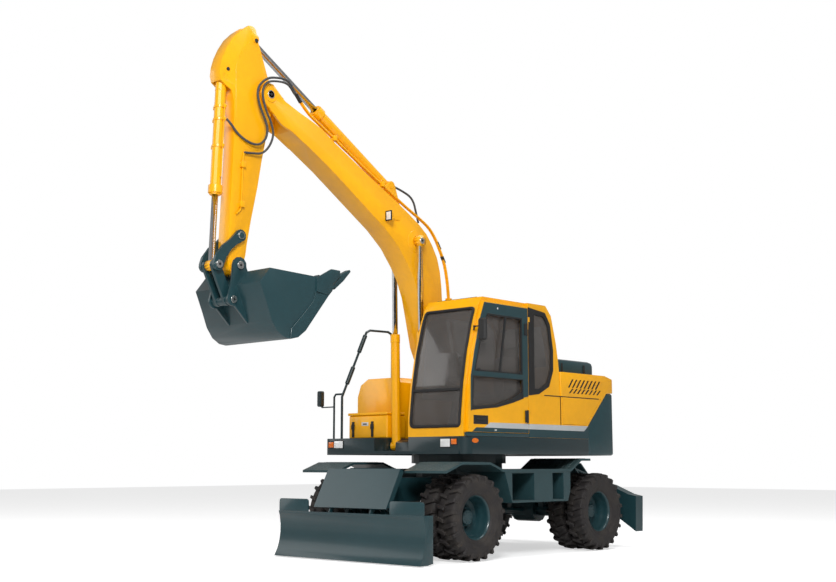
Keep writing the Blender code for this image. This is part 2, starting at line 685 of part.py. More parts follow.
TAIL_SIDE = [(DECK_REAR + 0.003, 1.262), (2.3, 1.262), (2.3, 2.14), (1.69, 2.105),
             (DECK_REAR + 0.003, 1.656)]


def counterweight():
    """A heavy tail block whose front edge slants back as it rises."""
    return common(sheet("z", (1.2, 2.2), tail_plan(DECK_REAR - 0.1)),
                  sheet("x", (-1.3, 1.3), TAIL_SIDE))


BODY_TOP = 2.35
HOOD_HALF = 1.0
HOOD_Y = (0.72, 1.76)
HOOD_TOP = 2.56
HOOD_PIVOT = (0.0, HOOD_Y[1] + 0.01, BODY_TOP + 0.02)


def rear_body():
    """The panelled box round the engine, open below the hood and behind the service doors."""
    wall = 0.035
    front = CAB_REAR + 0.02
    side_line = [(front, DECK_TOP + GAP), (DECK_REAR + 0.003, DECK_TOP + GAP),
                 (DECK_REAR + 0.003, 1.656 + GAP), (1.69, 2.105 + GAP), (1.90, 2.119 + GAP),
                 (1.89, 2.22), (1.83, 2.31), (1.66, BODY_TOP), (front, BODY_TOP)]
    shell = common(sheet("z", (1.4, 2.5), tail_plan(front - 0.1, 0.0)),
                   sheet("x", (-1.3, 1.3), side_line))
    hollow = sheet("x", (-DECK_HALF + wall, DECK_HALF - wall), [
        (front + wall, 1.4), (DECK_REAR - 0.03, 1.4), (DECK_REAR - 0.03, 1.69), (1.66, 2.13),
        (1.66, 2.30), (front + wall, 2.31)])
    hood = block((-HOOD_HALF + 0.04, HOOD_HALF - 0.04), (HOOD_Y[0] + 0.04, 1.60), (2.2, 2.5))
    doors = [sheet("x", (side * 1.1, side * 1.3), [
        (front + 0.06, 1.69), (1.20, 1.69), (1.50, 2.0), (front + 0.06, 2.0)])
        for side in SIDES.values()]
    recess = [sheet("x", (side * 1.2225, side * 1.3), [
        (front + 0.035, 1.66), (1.195, 1.66), (1.56, 2.025), (front + 0.035, 2.025)])
        for side in SIDES.values()]
    return cut(shell, hollow, hood, *doors, *recess)


def service_door(side):
    """A side panel hinged at its front edge, flush in its recess."""
    front = CAB_REAR + 0.02
    return sheet("x", (side * (1.2225 + GAP), side * DECK_HALF), [
        (front + 0.04, 1.665), (1.193, 1.665), (1.548, 2.02), (front + 0.04, 2.02)])


def engine_hood():
    """The raised hood over the engine, hollow below and hinged at its rear."""
    near, far = HOOD_Y
    half, skin = HOOD_HALF, 0.03
    shell = block((-half, half), (near, far), (2.30, HOOD_TOP), bevel=0.07, segments=2)
    trim = block((-half - 0.1, half + 0.1), (near - 0.1, far + 0.1), (2.2, BODY_TOP + GAP))
    hollow = block((-half + skin, half - skin), (near + skin, far - skin), (2.2, HOOD_TOP - 0.06))
    return cut(shell, trim, hollow)


TANK_TOP = 2.29


def right_tanks():
    """The fuel tank with chamfered upper edges, joined to the hydraulic tank behind it."""
    outline = [(-1.22, DECK_TOP + GAP), (-0.42, DECK_TOP + GAP), (-0.42, TANK_TOP - 0.07),
               (-0.50, TANK_TOP), (-1.02, TANK_TOP), (-1.16, 2.21), (-1.22, 2.05)]
    hydraulic = block((-DECK_HALF, -0.40), (0.10, CAB_REAR + 0.015), (DECK_TOP + GAP, 2.30))
    return joined(sheet("y", (-0.70, 0.12), outline), hydraulic)


TOOL_BOX_X = (-1.02, -0.31)


def tool_box():
    """An open box below its lid, in front of the tank."""
    front = -1.06
    shell = block(TOOL_BOX_X, (front, -0.703), (DECK_TOP + GAP, 1.78), bevel=0.015)
    hollow = block((TOOL_BOX_X[0] + 0.02, TOOL_BOX_X[1] - 0.02), (front + 0.02, -0.74), (1.50, 1.9))
    return cut(shell, hollow)


def tool_box_lid():
    return block((TOOL_BOX_X[0] - 0.008, TOOL_BOX_X[1] + 0.008), (-1.072, -0.715), (1.78 + GAP, 1.815),
                 bevel=0.008)


def right_handrail():
    """The entry rail beside the tank with its two grips, a low rail, and the mirror on its arm."""
    x, y = -1.0, -1.205
    low_x, low_z = x - 0.15, 2.066
    bend, knee = (y, 2.03), (-0.756, 2.923)
    rail = tube([(x, y, DECK_TOP + GAP), (x, *bend), (x, *knee), (x, -0.69, 2.957), (x, -0.33, 2.965),
                 (x, -0.27, 2.94), (x, -0.25, 2.87), (x, -0.25, TANK_TOP + GAP)], 0.017)
    low = tube([(low_x, y, DECK_TOP + GAP), (low_x, y, 2.03), (low_x + 0.03, y, low_z),
                (x, y + 0.02, low_z)], 0.014)
    arm = tube([(low_x, y, 1.90), (-1.385, y, 1.90), (-1.41, y, 1.93)], 0.010)
    glass = block((-1.45, -1.37), (y - 0.045, y + 0.035), (1.91, 2.12), bevel=0.015)
    grips = [bar((x, *between(bend, knee, near)), (x, *between(bend, knee, far)), 0.030, sides=12)
             for near, far in ((0.20, 0.45), (0.69, 0.95))]
    return joined(rail, low, arm, glass, *grips)


def left_mirror():
    """A mirror on an arm at the cab's front pillar."""
    y, z = -1.103, 2.79
    arm = tube([(CAB_X[1] + 0.010, y, z), (1.26, y - 0.05, z + 0.01), (1.38, y - 0.065, z + 0.01)], 0.009)
    foot = block((CAB_X[1] + GAP, CAB_X[1] + 0.012), (y - 0.009, y + 0.009), (z - 0.03, z + 0.03))
    glass = block((1.33, 1.45), (y - 0.10, y - 0.04), (2.62, 2.89), bevel=0.02)
    return joined(arm, foot, glass)


# ------------------------------------------------------------------ cab
CAB_FRONT = [(-1.31, DECK_TOP + GAP), (-1.31, 1.70), (-1.265, 2.10), (-1.19, 2.50), (-1.08, 2.90),
             (-1.01, 3.08), (-0.965, ROOF_TOP - 0.03)]
CAB_BACK = [(0.33, ROOF_TOP), (0.43, 3.07), (0.53, 2.72), (0.575, 2.48), (CAB_REAR, 2.27),
            (CAB_REAR, DECK_TOP + GAP)]


def shifted(points, dy, dz=0.0):
    return [(y + dy, z + dz) for y, z in points]


def front_at(z):
    """The windscreen line's y at a height, inside CAB_FRONT's points."""
    for (y0, z0), (y1, z1) in zip(CAB_FRONT, CAB_FRONT[1:]):
        if z0 <= z <= z1:
            return y0 + (y1 - y0) * (z - z0) / (z1 - z0)
    return CAB_FRONT[-1][0]


def front_strip(heights, inset):
    return [(front_at(z) + inset, z) for z in heights]


SCREEN_HEIGHTS = [1.60, 1.70, 2.10, 2.50, 2.90, 3.05]
SCREEN_X = (CAB_X[0] + 0.05, CAB_X[1] - 0.05)
DOOR_GAP = 0.006
DOOR_AXIS = (CAB_SKIN_X + 0.006, PILLAR_B - 0.001)
HINGE_Z = (1.70, 2.85)
HINGE_LENGTH = 0.10
QUARTER = [(0.03, 2.08), (0.16, 2.08), (0.35, 2.17), (0.43, 2.36), (0.435, 2.62), (0.375, 2.94),
           (0.28, 3.07), (0.03, 3.08)]
REAR_PANE_Z = (2.42, 2.95)
RIGHT_PANE = [(-1.10, 1.95), (0.40, 1.95), (0.40, 2.90), (0.30, 3.02), (-0.90, 3.02), (-1.02, 2.85)]


def cab_outline(inset):
    """The cab's side outline, drawn in by an inset on every side."""
    front = shifted(CAB_FRONT[1:-1], inset)
    roof = [(-0.93 + inset * 0.6, ROOF_TOP - inset), (0.33 - inset * 0.4, ROOF_TOP - inset)]
    back = shifted(CAB_BACK[1:-1], -inset)
    low = DECK_TOP + GAP + inset
    return [(-1.31 + inset, low)] + front + roof + back + [(CAB_REAR - inset, low)]


def cab_shell():
    """The cab's hollow frame with its door and window openings cut."""
    shell = sheet("x", CAB_X, cab_outline(0.0))
    skin = sheet("x", (CAB_X[1] - 0.01, CAB_SKIN_X), [
        (PILLAR_B + DOOR_GAP, DECK_TOP + GAP), (CAB_REAR, DECK_TOP + GAP)]
        + [(y, z) for y, z in reversed(CAB_BACK[1:-1])] + [(0.31, ROOF_TOP), (PILLAR_B + DOOR_GAP, ROOF_TOP)])
    leaves = []
    for z in HINGE_Z:
        span = (z + HINGE_LENGTH + GAP, z + HINGE_LENGTH + 0.06)
        leaves.append(block((CAB_SKIN_X - 0.001, CAB_SKIN_X + 0.010), (-0.070, -0.045), span))
        leaves.append(block((CAB_SKIN_X + 0.003, CAB_SKIN_X + 0.010), (-0.083, -0.060), span))
    shell = joined(shell, skin, *leaves)
    room = sheet("x", (CAB_X[0] + CAB_WALL, CAB_X[1] - CAB_WALL), cab_outline(CAB_WALL))
    screen = sheet("x", SCREEN_X, front_strip(SCREEN_HEIGHTS, -0.1)
                   + list(reversed(front_strip(SCREEN_HEIGHTS, 0.1))))
    doorway = sheet("x", (CAB_X[1] - 0.2, CAB_X[1] + 0.01), [
        (-1.20, 1.58), (-0.14, 1.58), (-0.14, 3.04), (-0.92, 3.04), (-1.03, 2.88), (-1.14, 2.50),
        (-1.20, 2.10)])
    quarter = sheet("x", (CAB_X[1] - 0.2, CAB_SKIN_X + 0.1), QUARTER)
    right = sheet("x", (CAB_X[0] - 0.1, CAB_X[0] + 0.1), RIGHT_PANE)
    rear = block((CAB_X[0] + 0.09, CAB_X[1] - 0.12), (0.38, 0.8), REAR_PANE_Z)
    return cut(shell, room, screen, doorway, quarter, right, rear)


def pane(outline, span):
    """A window pane a little smaller than its opening."""
    middle = (sum(y for y, z in outline) / len(outline), sum(z for y, z in outline) / len(outline))
    smaller = [between(p, middle, 0.0008 / polar(p, middle)) for p in outline]
    return sheet("x", span, smaller)


def windscreen():
    low, high = SCREEN_HEIGHTS[0] + 0.001, SCREEN_HEIGHTS[-1] - 0.001
    heights = [low] + SCREEN_HEIGHTS[1:-1] + [high]
    outline = front_strip(heights, 0.012) + list(reversed(front_strip(heights, 0.012 + PANE)))
    return sheet("x", (SCREEN_X[0] + GAP, SCREEN_X[1] - GAP), outline)


def rear_glass():
    """The pane behind the operator, following the rear wall's line."""
    low, high = REAR_PANE_Z[0] + 0.0005, REAR_PANE_Z[1] - 0.0005

    def back(z):
        rising = list(reversed(CAB_BACK[1:-1]))
        for (y0, z0), (y1, z1) in zip(rising, rising[1:]):
            if z0 <= z <= z1:
                return y0 + (y1 - y0) * (z - z0) / (z1 - z0)
        return rising[0][0]
    heights = [low, 2.48, 2.72, high]
    outer = [(back(z) - 0.015, z) for z in heights]
    inner = [(back(z) - 0.015 - PANE, z) for z in reversed(heights)]
    return sheet("x", (CAB_X[0] + 0.09 + GAP, CAB_X[1] - 0.12 - GAP), outer + inner)


DOOR_OUTLINE = [(-1.262, 1.53), (PILLAR_B, 1.53), (PILLAR_B, 3.14), (-0.955, 3.14), (-1.045, 2.91),
                (-1.155, 2.50), (-1.23, 2.10), (-1.262, 1.75)]
DOOR_LOW_PANE = [(-1.19, 1.83), (-0.72, 1.86), (-0.40, 1.93), (-0.14, 2.04), (-0.14, 2.20),
                 (-1.16, 2.20)]
DOOR_HIGH_PANE = [(-1.15, 2.25), (-0.14, 2.25), (-0.14, 3.02), (-0.94, 3.02), (-1.02, 2.86),
                  (-1.10, 2.52)]


def cab_door():
    """The rear-hinged door with its two windows cut."""
    slab = sheet("x", (CAB_X[1] + 0.002, CAB_SKIN_X + 0.002), DOOR_OUTLINE, DOOR_LOW_PANE,
                 DOOR_HIGH_PANE)
    hinges = [bar((*DOOR_AXIS, z), (*DOOR_AXIS, z + HINGE_LENGTH), 0.006, sides=8) for z in HINGE_Z]
    return joined(slab, *hinges)


def door_glass():
    """One sheet of glass for both door windows, held against the door's inner face."""
    return sheet("x", (CAB_X[1] + 0.002 - GAP - PANE, CAB_X[1] + 0.002 - GAP), [
        (-1.18, 1.80), (-0.70, 1.82), (-0.38, 1.88), (-0.145, 1.98), (-0.145, 3.03), (-0.905, 3.03),
        (-1.02, 2.86), (-1.12, 2.52), (-1.18, 2.12)])


def operator_seat():
    """The seat on its pedestal, between the control consoles."""
    x = (CAB_X[0] + CAB_X[1]) / 2
    floor = DECK_TOP + CAB_WALL + 2 * GAP
    pieces = [
        block((x - 0.18, x + 0.18), (-0.42, 0.02), (floor, 1.78), bevel=0.02),
        block((x - 0.25, x + 0.25), (-0.52, 0.04), (1.76, 1.90), bevel=0.04, segments=2),
        sheet("x", (x - 0.24, x + 0.24), [(-0.06, 1.84), (0.06, 1.82), (0.20, 2.46), (0.10, 2.48)]),
        sheet("x", (x - 0.13, x + 0.13), [(0.10, 2.44), (0.19, 2.42), (0.24, 2.66), (0.15, 2.67)]),
        block((x - 0.20, x + 0.20), (-0.30, -0.05), (1.70, 1.80)),
    ]
    for side in SIDES.values():
        near, far = x + side * 0.20, x + side * 0.38
        pieces.append(block((near, far), (-0.50, 0.02), (1.72, 1.97), bevel=0.02))
        pieces.append(bar((x + side * 0.32, -0.42, 1.95), (x + side * 0.32, -0.44, 2.10), 0.014,
                          0.022, sides=8))
    return joined(*pieces)


# ------------------------------------------------------------------ boom, arm and bucket
BOOM_TOP = [(-3.28, 5.335), (-3.12, 5.295), (-2.91, 5.23), (-2.70, 5.155), (-2.47, 5.02),
            (-1.88, 4.715), (-1.37, 4.465), (-1.16, 4.355), (-0.944, 4.23), (-0.807, 4.128),
            (-0.697, 3.994), (-0.60, 3.838), (-0.544, 3.657), (-0.517, 3.472), (-0.505, 3.30),
            (-0.13, 1.95)]
BOOM_LOW = [(-0.38, 1.80), (-0.79, 2.65), (-0.88, 3.01), (-0.955, 3.30), (-1.05, 3.51),
            (-1.165, 3.68), (-1.35, 3.90), (-1.60, 4.10), (-2.065, 4.39), (-2.55, 4.69),
            (-3.00, 4.94), (-3.17, 5.03)]


def lug_span(barrel, thickness, side):
    """Where the plate beside a cylinder's foot lies, clear of the barrel and its collar."""
    near = barrel * EYE + PLAY
    return (side * near, side * (near + thickness))


def boom():
    """A bent box with a fork at its tip, a foot boss, and the cylinders' pins and lugs."""
    beam = sheet("x", (-BOOM_HALF, BOOM_HALF),
                 BOOM_TOP[:-1] + arc(BOOM_FOOT, 0.125, 30, -140, 6) + BOOM_LOW[1:])
    pieces = [cross_bar((-0.205, 0.205), BOOM_FOOT, 0.045)]
    pin_length = BOOM_CYLINDER_X - ROD_EYE_HALF - PLAY
    for side in SIDES.values():
        fork = ([(-2.95, 5.235), (-3.28, 5.36)] + arc(BOOM_TIP, 0.135, 75, 235, 7)
                + [(-3.33, 5.07), (-3.17, 5.02), (-2.95, 4.905)])
        pieces.append(sheet("x", (side * (ARM_BOSS_HALF + PLAY), side * BOOM_HALF), fork))
        pieces.append(cross_bar((side * 0.10, side * pin_length), BOOM_CYLINDER_PIN, 0.085))
        base = ARM_CYLINDER_BASE
        pieces.append(sheet("x", lug_span(ARM_BARREL, 0.026, side),
                            [(-1.66, 4.55)] + arc(base, 0.065, 150, 20, 4) + [(-1.22, 4.34)]))
    made = joined(beam, *pieces)
    return cut(made, bore((-0.2, 0.2), BOOM_TIP, ARM_PIN_RADIUS),
               bore((-0.12, 0.12), ARM_CYLINDER_BASE, ARM_BARREL * FOOT_PIN))


ARM_HEAD = [(-3.51, 5.63), (-3.57, 5.79), (-3.65, 5.99), (-3.675, 6.07), (-3.69, 6.135),
            (-3.735, 6.168), (-3.80, 6.16), (-3.92, 6.065), (-4.02, 5.96), (-4.10, 5.83),
            (-4.155, 5.71), (-4.19, 5.59), (-4.20, 5.49), (-4.18, 5.42), (-4.12, 5.38),
            (-4.03, 5.34), (-3.985, 5.22)]
ROD_SLOT = [(-3.90, 6.30), (-3.90, 6.06), (-3.85, 5.99), (-3.78, 5.95), (-3.78, 5.88),
            (-3.74, 5.82), (-3.66, 5.80), (-3.40, 5.76), (-3.30, 6.30)]


def arm():
    """A tapering box whose hooded head takes the arm cylinder's rod and the bucket cylinder's foot."""
    outline = (ARM_HEAD + [(-3.978, 4.69), (-3.998, 4.15), (-4.018, 3.65), (-4.02, 3.40)]
               + arc(BUCKET_PIN, 0.095, 180, 350, 5)
               + [(-3.776, 3.47), (-3.761, 3.588), (-3.705, 3.89), (-3.622, 4.275), (-3.564, 4.615),
                  (-3.435, 5.221)]
               + arc(BOOM_TIP, 0.14, -30, 70, 4))
    beam = sheet("x", (-ARM_HALF, ARM_HALF), outline)
    slot_half = ROD_EYE_HALF + PLAY
    beam = cut(beam, sheet("x", (-slot_half, slot_half), ROD_SLOT))
    base = BUCKET_CYLINDER_BASE
    boss = EAR_X[0] - PLAY
    pieces = [cross_bar((-BOOM_HALF - 0.015, BOOM_HALF + 0.015), BOOM_TIP, ARM_PIN_RADIUS),
              cross_bar((-ARM_BOSS_HALF, ARM_BOSS_HALF), BOOM_TIP, 0.11),
              cross_bar((-boss, boss), BUCKET_PIN, 0.08)]
    for side in SIDES.values():
        pieces.append(cross_bar((side * (slot_half + 0.005), side * (ARM_HALF + 0.012)),
                                ARM_CYLINDER_PIN, 0.05))
    made = joined(beam, *pieces)
    well_half = lug_span(BUCKET_BARREL, 0.0, 1)[0]
    well_top = base[1] + BUCKET_BARREL * EYE + 0.02
    well = block((-well_half, well_half), (base[0] - BUCKET_BARREL * EYE - 0.008, -4.01),
                 (5.0, well_top))
    return cut(made, well, bore((-boss - 0.01, boss + 0.01), BUCKET_PIN, PIN_RADIUS),
               bore((-0.13, 0.13), ROCKER_PIN, PIN_RADIUS),
               bore((-0.12, 0.12), base, BUCKET_BARREL * FOOT_PIN))


def rocker_links():
    """Two curved plates on the arm, joined by their pin, which the bucket cylinder pushes."""
    end = ROCKER_X[1] + PIN_PROUD
    pieces = [cross_bar((-end, end), ROCKER_PIN, PIN_RADIUS)]
    plate = (arc(ROCKER_PIN, 0.068, -50, 130, 6) + ROCKER_OUTER
             + arc(ROCKER_END, 0.068, 160, 340, 6) + ROCKER_INNER)
    for side in SIDES.values():
        pieces.append(sheet("x", (side * ROCKER_X[0], side * ROCKER_X[1]), plate))
        pieces.append(cross_bar((side * (ROD_EYE_HALF + PLAY), side * end), ROCKER_END, PIN_RADIUS))
    return joined(*pieces)


def bucket_link():
    """Two cheeks from the rocker's end to the bucket, joined by the lower boss."""
    way = Vector((LINK_PIN[0] - ROCKER_END[0], LINK_PIN[1] - ROCKER_END[1]))
    tilt = degrees(atan2(way.y, way.x))
    plate = arc(ROCKER_END, 0.065, tilt + 90, tilt + 270, 6) + arc(LINK_PIN, 0.06, tilt - 90, tilt + 90, 6)
    cheeks = [sheet("x", (side * LINK_X[0], side * LINK_X[1]), plate) for side in SIDES.values()]
    boss = EAR_X[0] - PLAY
    made = joined(cross_bar((-boss, boss), LINK_PIN, 0.055), *cheeks)
    return cut(made, *[bore((side * 0.05, side * 0.12), ROCKER_END, PIN_RADIUS)
                       for side in SIDES.values()])


BUCKET_SIDE = [(-3.82, 3.27), (-3.125, 3.25), (-2.95, 3.225), (-2.885, 3.125), (-3.11, 2.845),
               (-3.29, 2.62), (-3.40, 2.537), (-3.50, 2.513), (-3.60, 2.525), (-3.70, 2.585),
               (-3.785, 2.70), (-3.86, 2.885), (-3.955, 3.10)]
BUCKET_ROOM = [(-3.79, 3.60), (-3.79, 3.24), (-3.925, 3.09), (-3.835, 2.88), (-3.762, 2.712),
               (-3.685, 2.605), (-3.597, 2.549), (-3.50, 2.537), (-3.41, 2.56), (-3.305, 2.64),
               (-3.128, 2.86), (-2.90, 3.145), (-2.80, 3.60)]
BUCKET_EAR = [(-4.02, 3.166)]
BUCKET_EAR_FOOT = [(-3.79, 2.69), (-3.77, 2.72), (-3.84, 2.92), (-3.93, 3.10), (-3.80, 3.26)]
LIP = [(-2.92, 3.085), (-2.745, 3.262), (-2.765, 3.282), (-2.945, 3.10)]
TOOTH = [(-2.84, 3.135), (-2.70, 3.25), (-2.585, 3.372), (-2.60, 3.392), (-2.71, 3.335), (-2.80, 3.265)]
SIDE_CUTTER = [(-3.14, 3.08), (-3.14, 3.235), (-2.915, 3.36), (-2.78, 3.358), (-2.778, 3.293),
               (-2.89, 3.19), (-2.90, 3.11), (-2.95, 3.055)]
TOOTH_COUNT = 5
TOOTH_WIDTH = 0.08


def bucket():
    """A curved shell between side plates, with ears, pins, a lip with teeth and side cutters."""
    solid = sheet("x", (-BUCKET_HALF, BUCKET_HALF), BUCKET_SIDE)
    ear = (arc(BUCKET_PIN, 0.095, -10, 180, 6) + BUCKET_EAR + arc(LINK_PIN, 0.075, 165, 290, 5)
           + BUCKET_EAR_FOOT)
    ears = [sheet("x", (side * EAR_X[0], side * EAR_X[1]), ear) for side in SIDES.values()]
    made = joined(solid, *ears)
    room = sheet("x", (-BUCKET_HALF + BUCKET_PLATE, BUCKET_HALF - BUCKET_PLATE), BUCKET_ROOM)
    made = cut(made, room)
    end = EAR_X[1] + PIN_PROUD
    pieces = [cross_bar((-end, end), BUCKET_PIN, PIN_RADIUS),
              sheet("x", (-BUCKET_HALF, BUCKET_HALF), LIP)]
    reach = BUCKET_HALF - TOOTH_WIDTH * 0.6
    for i in range(TOOTH_COUNT):
        x = -reach + 2 * reach * i / (TOOTH_COUNT - 1)
        pieces.append(sheet("x", (x - TOOTH_WIDTH / 2, x + TOOTH_WIDTH / 2), TOOTH))
    for side in SIDES.values():
        pieces.append(cross_bar((side * (EAR_X[0] + 0.002), side * end), LINK_PIN, 0.04))
        pieces.append(sheet("x", (side * (BUCKET_HALF - 0.005), side * (BUCKET_HALF + 0.020)),
                            SIDE_CUTTER))
    return joined(made, *pieces)


# ------------------------------------------------------------------ the machine
def build_undercarriage():
    body("root")
    node("chassis_frame", chassis_frame(), "root", TEAL)
    node("front_axle", front_axle(), "root", TEAL)
    node("rear_axle", rear_axle(), "root", TEAL)
    node("drive_line", drive_line(), "root", DARK)
    for name, side in SIDES.items():
        node("fender_" + name, fender(side), "root", TEAL)
        pivot = (side * KINGPIN_X, FRONT_AXLE_Y, AXLE_Z)
        body("knuckle_" + name, pivot, "root")
        node("knuckle_" + name, knuckle(side), "knuckle_" + name, TEAL)
        for end, axle_y, carrier in (("front", FRONT_AXLE_Y, "knuckle_" + name),
                                     ("rear", REAR_AXLE_Y, "root")):
            owner = "wheel_" + end + "_" + name
            body(owner, (side * KINGPIN_X, axle_y, AXLE_Z), carrier)
            wheel_pair(end, name, side, axle_y, owner)


def build_blade():
    body("blade_arms", BLADE_ARM_PIVOT, "root")
    node("blade_arms", blade_arms(), "blade_arms", TEAL)
    body("blade", BLADE_ARM_PIVOT + BLADE_LINK, "blade_arms")
    node("dozer_blade", dozer_blade(), "blade", TEAL)
    body("blade_cover", COVER_PIVOT, "root")
    node("blade_cover", blade_cover(), "blade_cover", TEAL)
    base = BLADE_CYLINDER_BASE
    pin = between(tuple(COVER_PIVOT.yz), tuple((COVER_PIVOT + BLADE_LINK).yz), 0.78)
    body("blade_barrel", (0.0, *base), "root")
    node("blade_cylinder_barrel", cylinder_barrel(0.0, base, pin, 0.17, 0.03, 0.016, 0.09, 0.05),
         "blade_barrel", TEAL)
    body("blade_rod", (0.0, *base), "blade_barrel")
    node("blade_cylinder_rod", cylinder_rod(0.0, base, pin, 0.10, 0.016, 0.026, 0.028), "blade_rod",
         CHROME, 0.15, 1.0)


def build_legs():
    y = sum(LEG_Y) / 2
    for name, side in SIDES.items():
        pivot = (side * LEG_PIVOT_X, y, LEG_PIVOT_Z)
        body("leg_" + name, pivot, "root")
        outline = [(0.25, 0.76), (0.30, 0.83), (0.62, 0.90), (0.85, 0.851), (1.15, 0.729),
                   (1.28, 0.703), (1.265, 0.218), (1.02, 0.376), (0.80, 0.42), (0.44, 0.62),
                   (0.28, 0.68)]
        leg = sheet("y", LEG_Y, [(side * x, z) for x, z in outline])
        slot = sheet("y", (y - 0.05, y + 0.05), [(side * x, z) for x, z in (
            (0.20, 1.0), (0.90, 1.0), (0.90, 0.80), (0.60, 0.78), (0.44, 0.80), (0.20, 0.84))])
        leg = cut(leg, slot)
        pin = bar((side * LEG_PIVOT_X, LEG_Y[0] - 0.04, LEG_PIVOT_Z),
                  (side * LEG_PIVOT_X, LEG_Y[1] + 0.04, LEG_PIVOT_Z), LEG_PIN)
        node("stabiliser_leg_" + name, joined(leg, pin), "leg_" + name, TEAL)
        base = (0.12, 1.08)
        eye = (0.74, 0.865)
        length = polar(eye, base)

        def at(share):
            point = between(base, eye, share)
            return (side * point[0], y, point[1])
        body("leg_barrel_" + name, (side * base[0], y, base[1]), "root")
        barrel = joined(bar(at(0.0), at(0.40 / length), 0.035),
                        bar((side * base[0], LEG_Y[0] - 0.04, base[1]),
                            (side * base[0], LEG_Y[1] + 0.04, base[1]), LEG_PIN),
                        bar((side * base[0], y - 0.06, base[1]),
                            (side * base[0], y + 0.06, base[1]), 0.045))
        barrel = cut(barrel, hole(at(0.09 / length), at(0.45 / length), 0.02))
        node("leg_cylinder_barrel_" + name, barrel, "leg_barrel_" + name, TEAL)
        body("leg_rod_" + name, (side * base[0], y, base[1]), "leg_barrel_" + name)
        rod = joined(bar(at(0.20 / length), at(1.0), 0.02),
                     bar((side * eye[0], y - 0.035, eye[1]), (side * eye[0], y + 0.035, eye[1]), 0.035))
        node("leg_cylinder_rod_" + name, rod, "leg_rod_" + name, CHROME, 0.15, 1.0)


def build_upper():
    body("upper", (0.0, 0.0, SLEW_PLANE), "root")
    node("upper_frame", upper_frame(), "upper", DARK)
    node("counterweight", counterweight(), "upper", TEAL)
    node("rear_body", rear_body(), "upper", YELLOW)
    node("engine_block", block((-0.45, 0.45), (0.78, 1.20), (DECK_TOP + GAP, 2.20)), "upper", DARK)
    node("right_tanks", right_tanks(), "upper", YELLOW)
    node("tool_box", tool_box(), "upper", YELLOW)
    node("right_handrail", right_handrail(), "upper", DARK)
    node("left_mirror", left_mirror(), "upper", DARK)
    node("cab_shell", cab_shell(), "upper", YELLOW)
    node("windscreen", windscreen(), "upper", GLASS, 0.05)
    node("right_glass", pane(RIGHT_PANE, (CAB_X[0] + 0.015, CAB_X[0] + 0.015 + PANE)), "upper", GLASS,
         0.05)
    node("quarter_glass", pane(QUARTER, (CAB_SKIN_X - 0.02, CAB_SKIN_X - 0.02 + PANE)), "upper", GLASS,
         0.05)
    node("rear_glass", rear_glass(), "upper", GLASS, 0.05)
    node("operator_seat", operator_seat(), "upper", SEAT_GREY, 0.9)
    body("cab_door", (*DOOR_AXIS, 2.3), "upper")
    node("cab_door", cab_door(), "cab_door", YELLOW)
    node("door_glass", door_glass(), "cab_door", GLASS, 0.05)
    body("engine_hood", HOOD_PIVOT, "upper")
    node("engine_hood", engine_hood(), "engine_hood", DARK)
    for name, side in SIDES.items():
        body("service_door_" + name, (side * DECK_HALF, CAB_REAR + 0.055, 1.84), "upper")
        node("service_door_" + name, service_door(side), "service_door_" + name, YELLOW)
    body("tool_box_lid", (-0.665, -0.715, 1.8), "upper")
    node("tool_box_lid", tool_box_lid(), "tool_box_lid", YELLOW)


def build_front():
    body("boom", (0.0, *BOOM_FOOT), "upper")
    node("boom", boom(), "boom", YELLOW)
    body("boom_barrels", (0.0, *BOOM_CYLINDER_FOOT), "upper")
    body("boom_rods", (0.0, *BOOM_CYLINDER_FOOT), "boom_barrels")
    for name, side in SIDES.items():
        x = side * BOOM_CYLINDER_X
        barrel = cylinder_barrel(x, BOOM_CYLINDER_FOOT, BOOM_CYLINDER_PIN, 1.44, BOOM_BARREL,
                                 BOOM_ROD, 0.085, 0.05)
        node("boom_cylinder_barrel_" + name, barrel, "boom_barrels", YELLOW)
        rod = cylinder_rod(x, BOOM_CYLINDER_FOOT, BOOM_CYLINDER_PIN, 1.20, BOOM_ROD, 0.075,
                           ROD_EYE_HALF)
        node("boom_cylinder_rod_" + name, rod, "boom_rods", CHROME, 0.15, 1.0)
    body("arm_barrel", (0.0, *ARM_CYLINDER_BASE), "boom")
    node("arm_cylinder_barrel",
         cylinder_barrel(0.0, ARM_CYLINDER_BASE, ARM_CYLINDER_PIN, 1.46, ARM_BARREL, ARM_ROD, 0.105,
                         ROD_EYE_HALF), "arm_barrel", YELLOW)
    body("arm_rod", (0.0, *ARM_CYLINDER_BASE), "arm_barrel")
    node("arm_cylinder_rod", cylinder_rod(0.0, ARM_CYLINDER_BASE, ARM_CYLINDER_PIN, 1.15, ARM_ROD, 0.07,
                                          ROD_EYE_HALF), "arm_rod", CHROME, 0.15, 1.0)
    body("arm", (0.0, *BOOM_TIP), "boom")
    node("arm", arm(), "arm", YELLOW)
    body("bucket_barrel", (0.0, *BUCKET_CYLINDER_BASE), "arm")
    node("bucket_cylinder_barrel",
         cylinder_barrel(0.0, BUCKET_CYLINDER_BASE, ROCKER_END, 1.36, BUCKET_BARREL,
                         BUCKET_ROD, ARM_HALF, ROD_EYE_HALF),
         "bucket_barrel", YELLOW)
    body("bucket_rod", (0.0, *BUCKET_CYLINDER_BASE), "bucket_barrel")
    node("bucket_cylinder_rod", cylinder_rod(0.0, BUCKET_CYLINDER_BASE, ROCKER_END, 1.10, BUCKET_ROD, 0.06,
                                             ROD_EYE_HALF), "bucket_rod", CHROME, 0.15, 1.0)
    body("rocker", (0.0, *ROCKER_PIN), "arm")
    node("rocker_links", rocker_links(), "rocker", TEAL)
    body("bucket_link", (0.0, *ROCKER_END), "rocker")
    node("bucket_link", bucket_link(), "bucket_link", TEAL)
    body("bucket", (0.0, *BUCKET_PIN), "arm")
    node("bucket", bucket(), "bucket", TEAL)


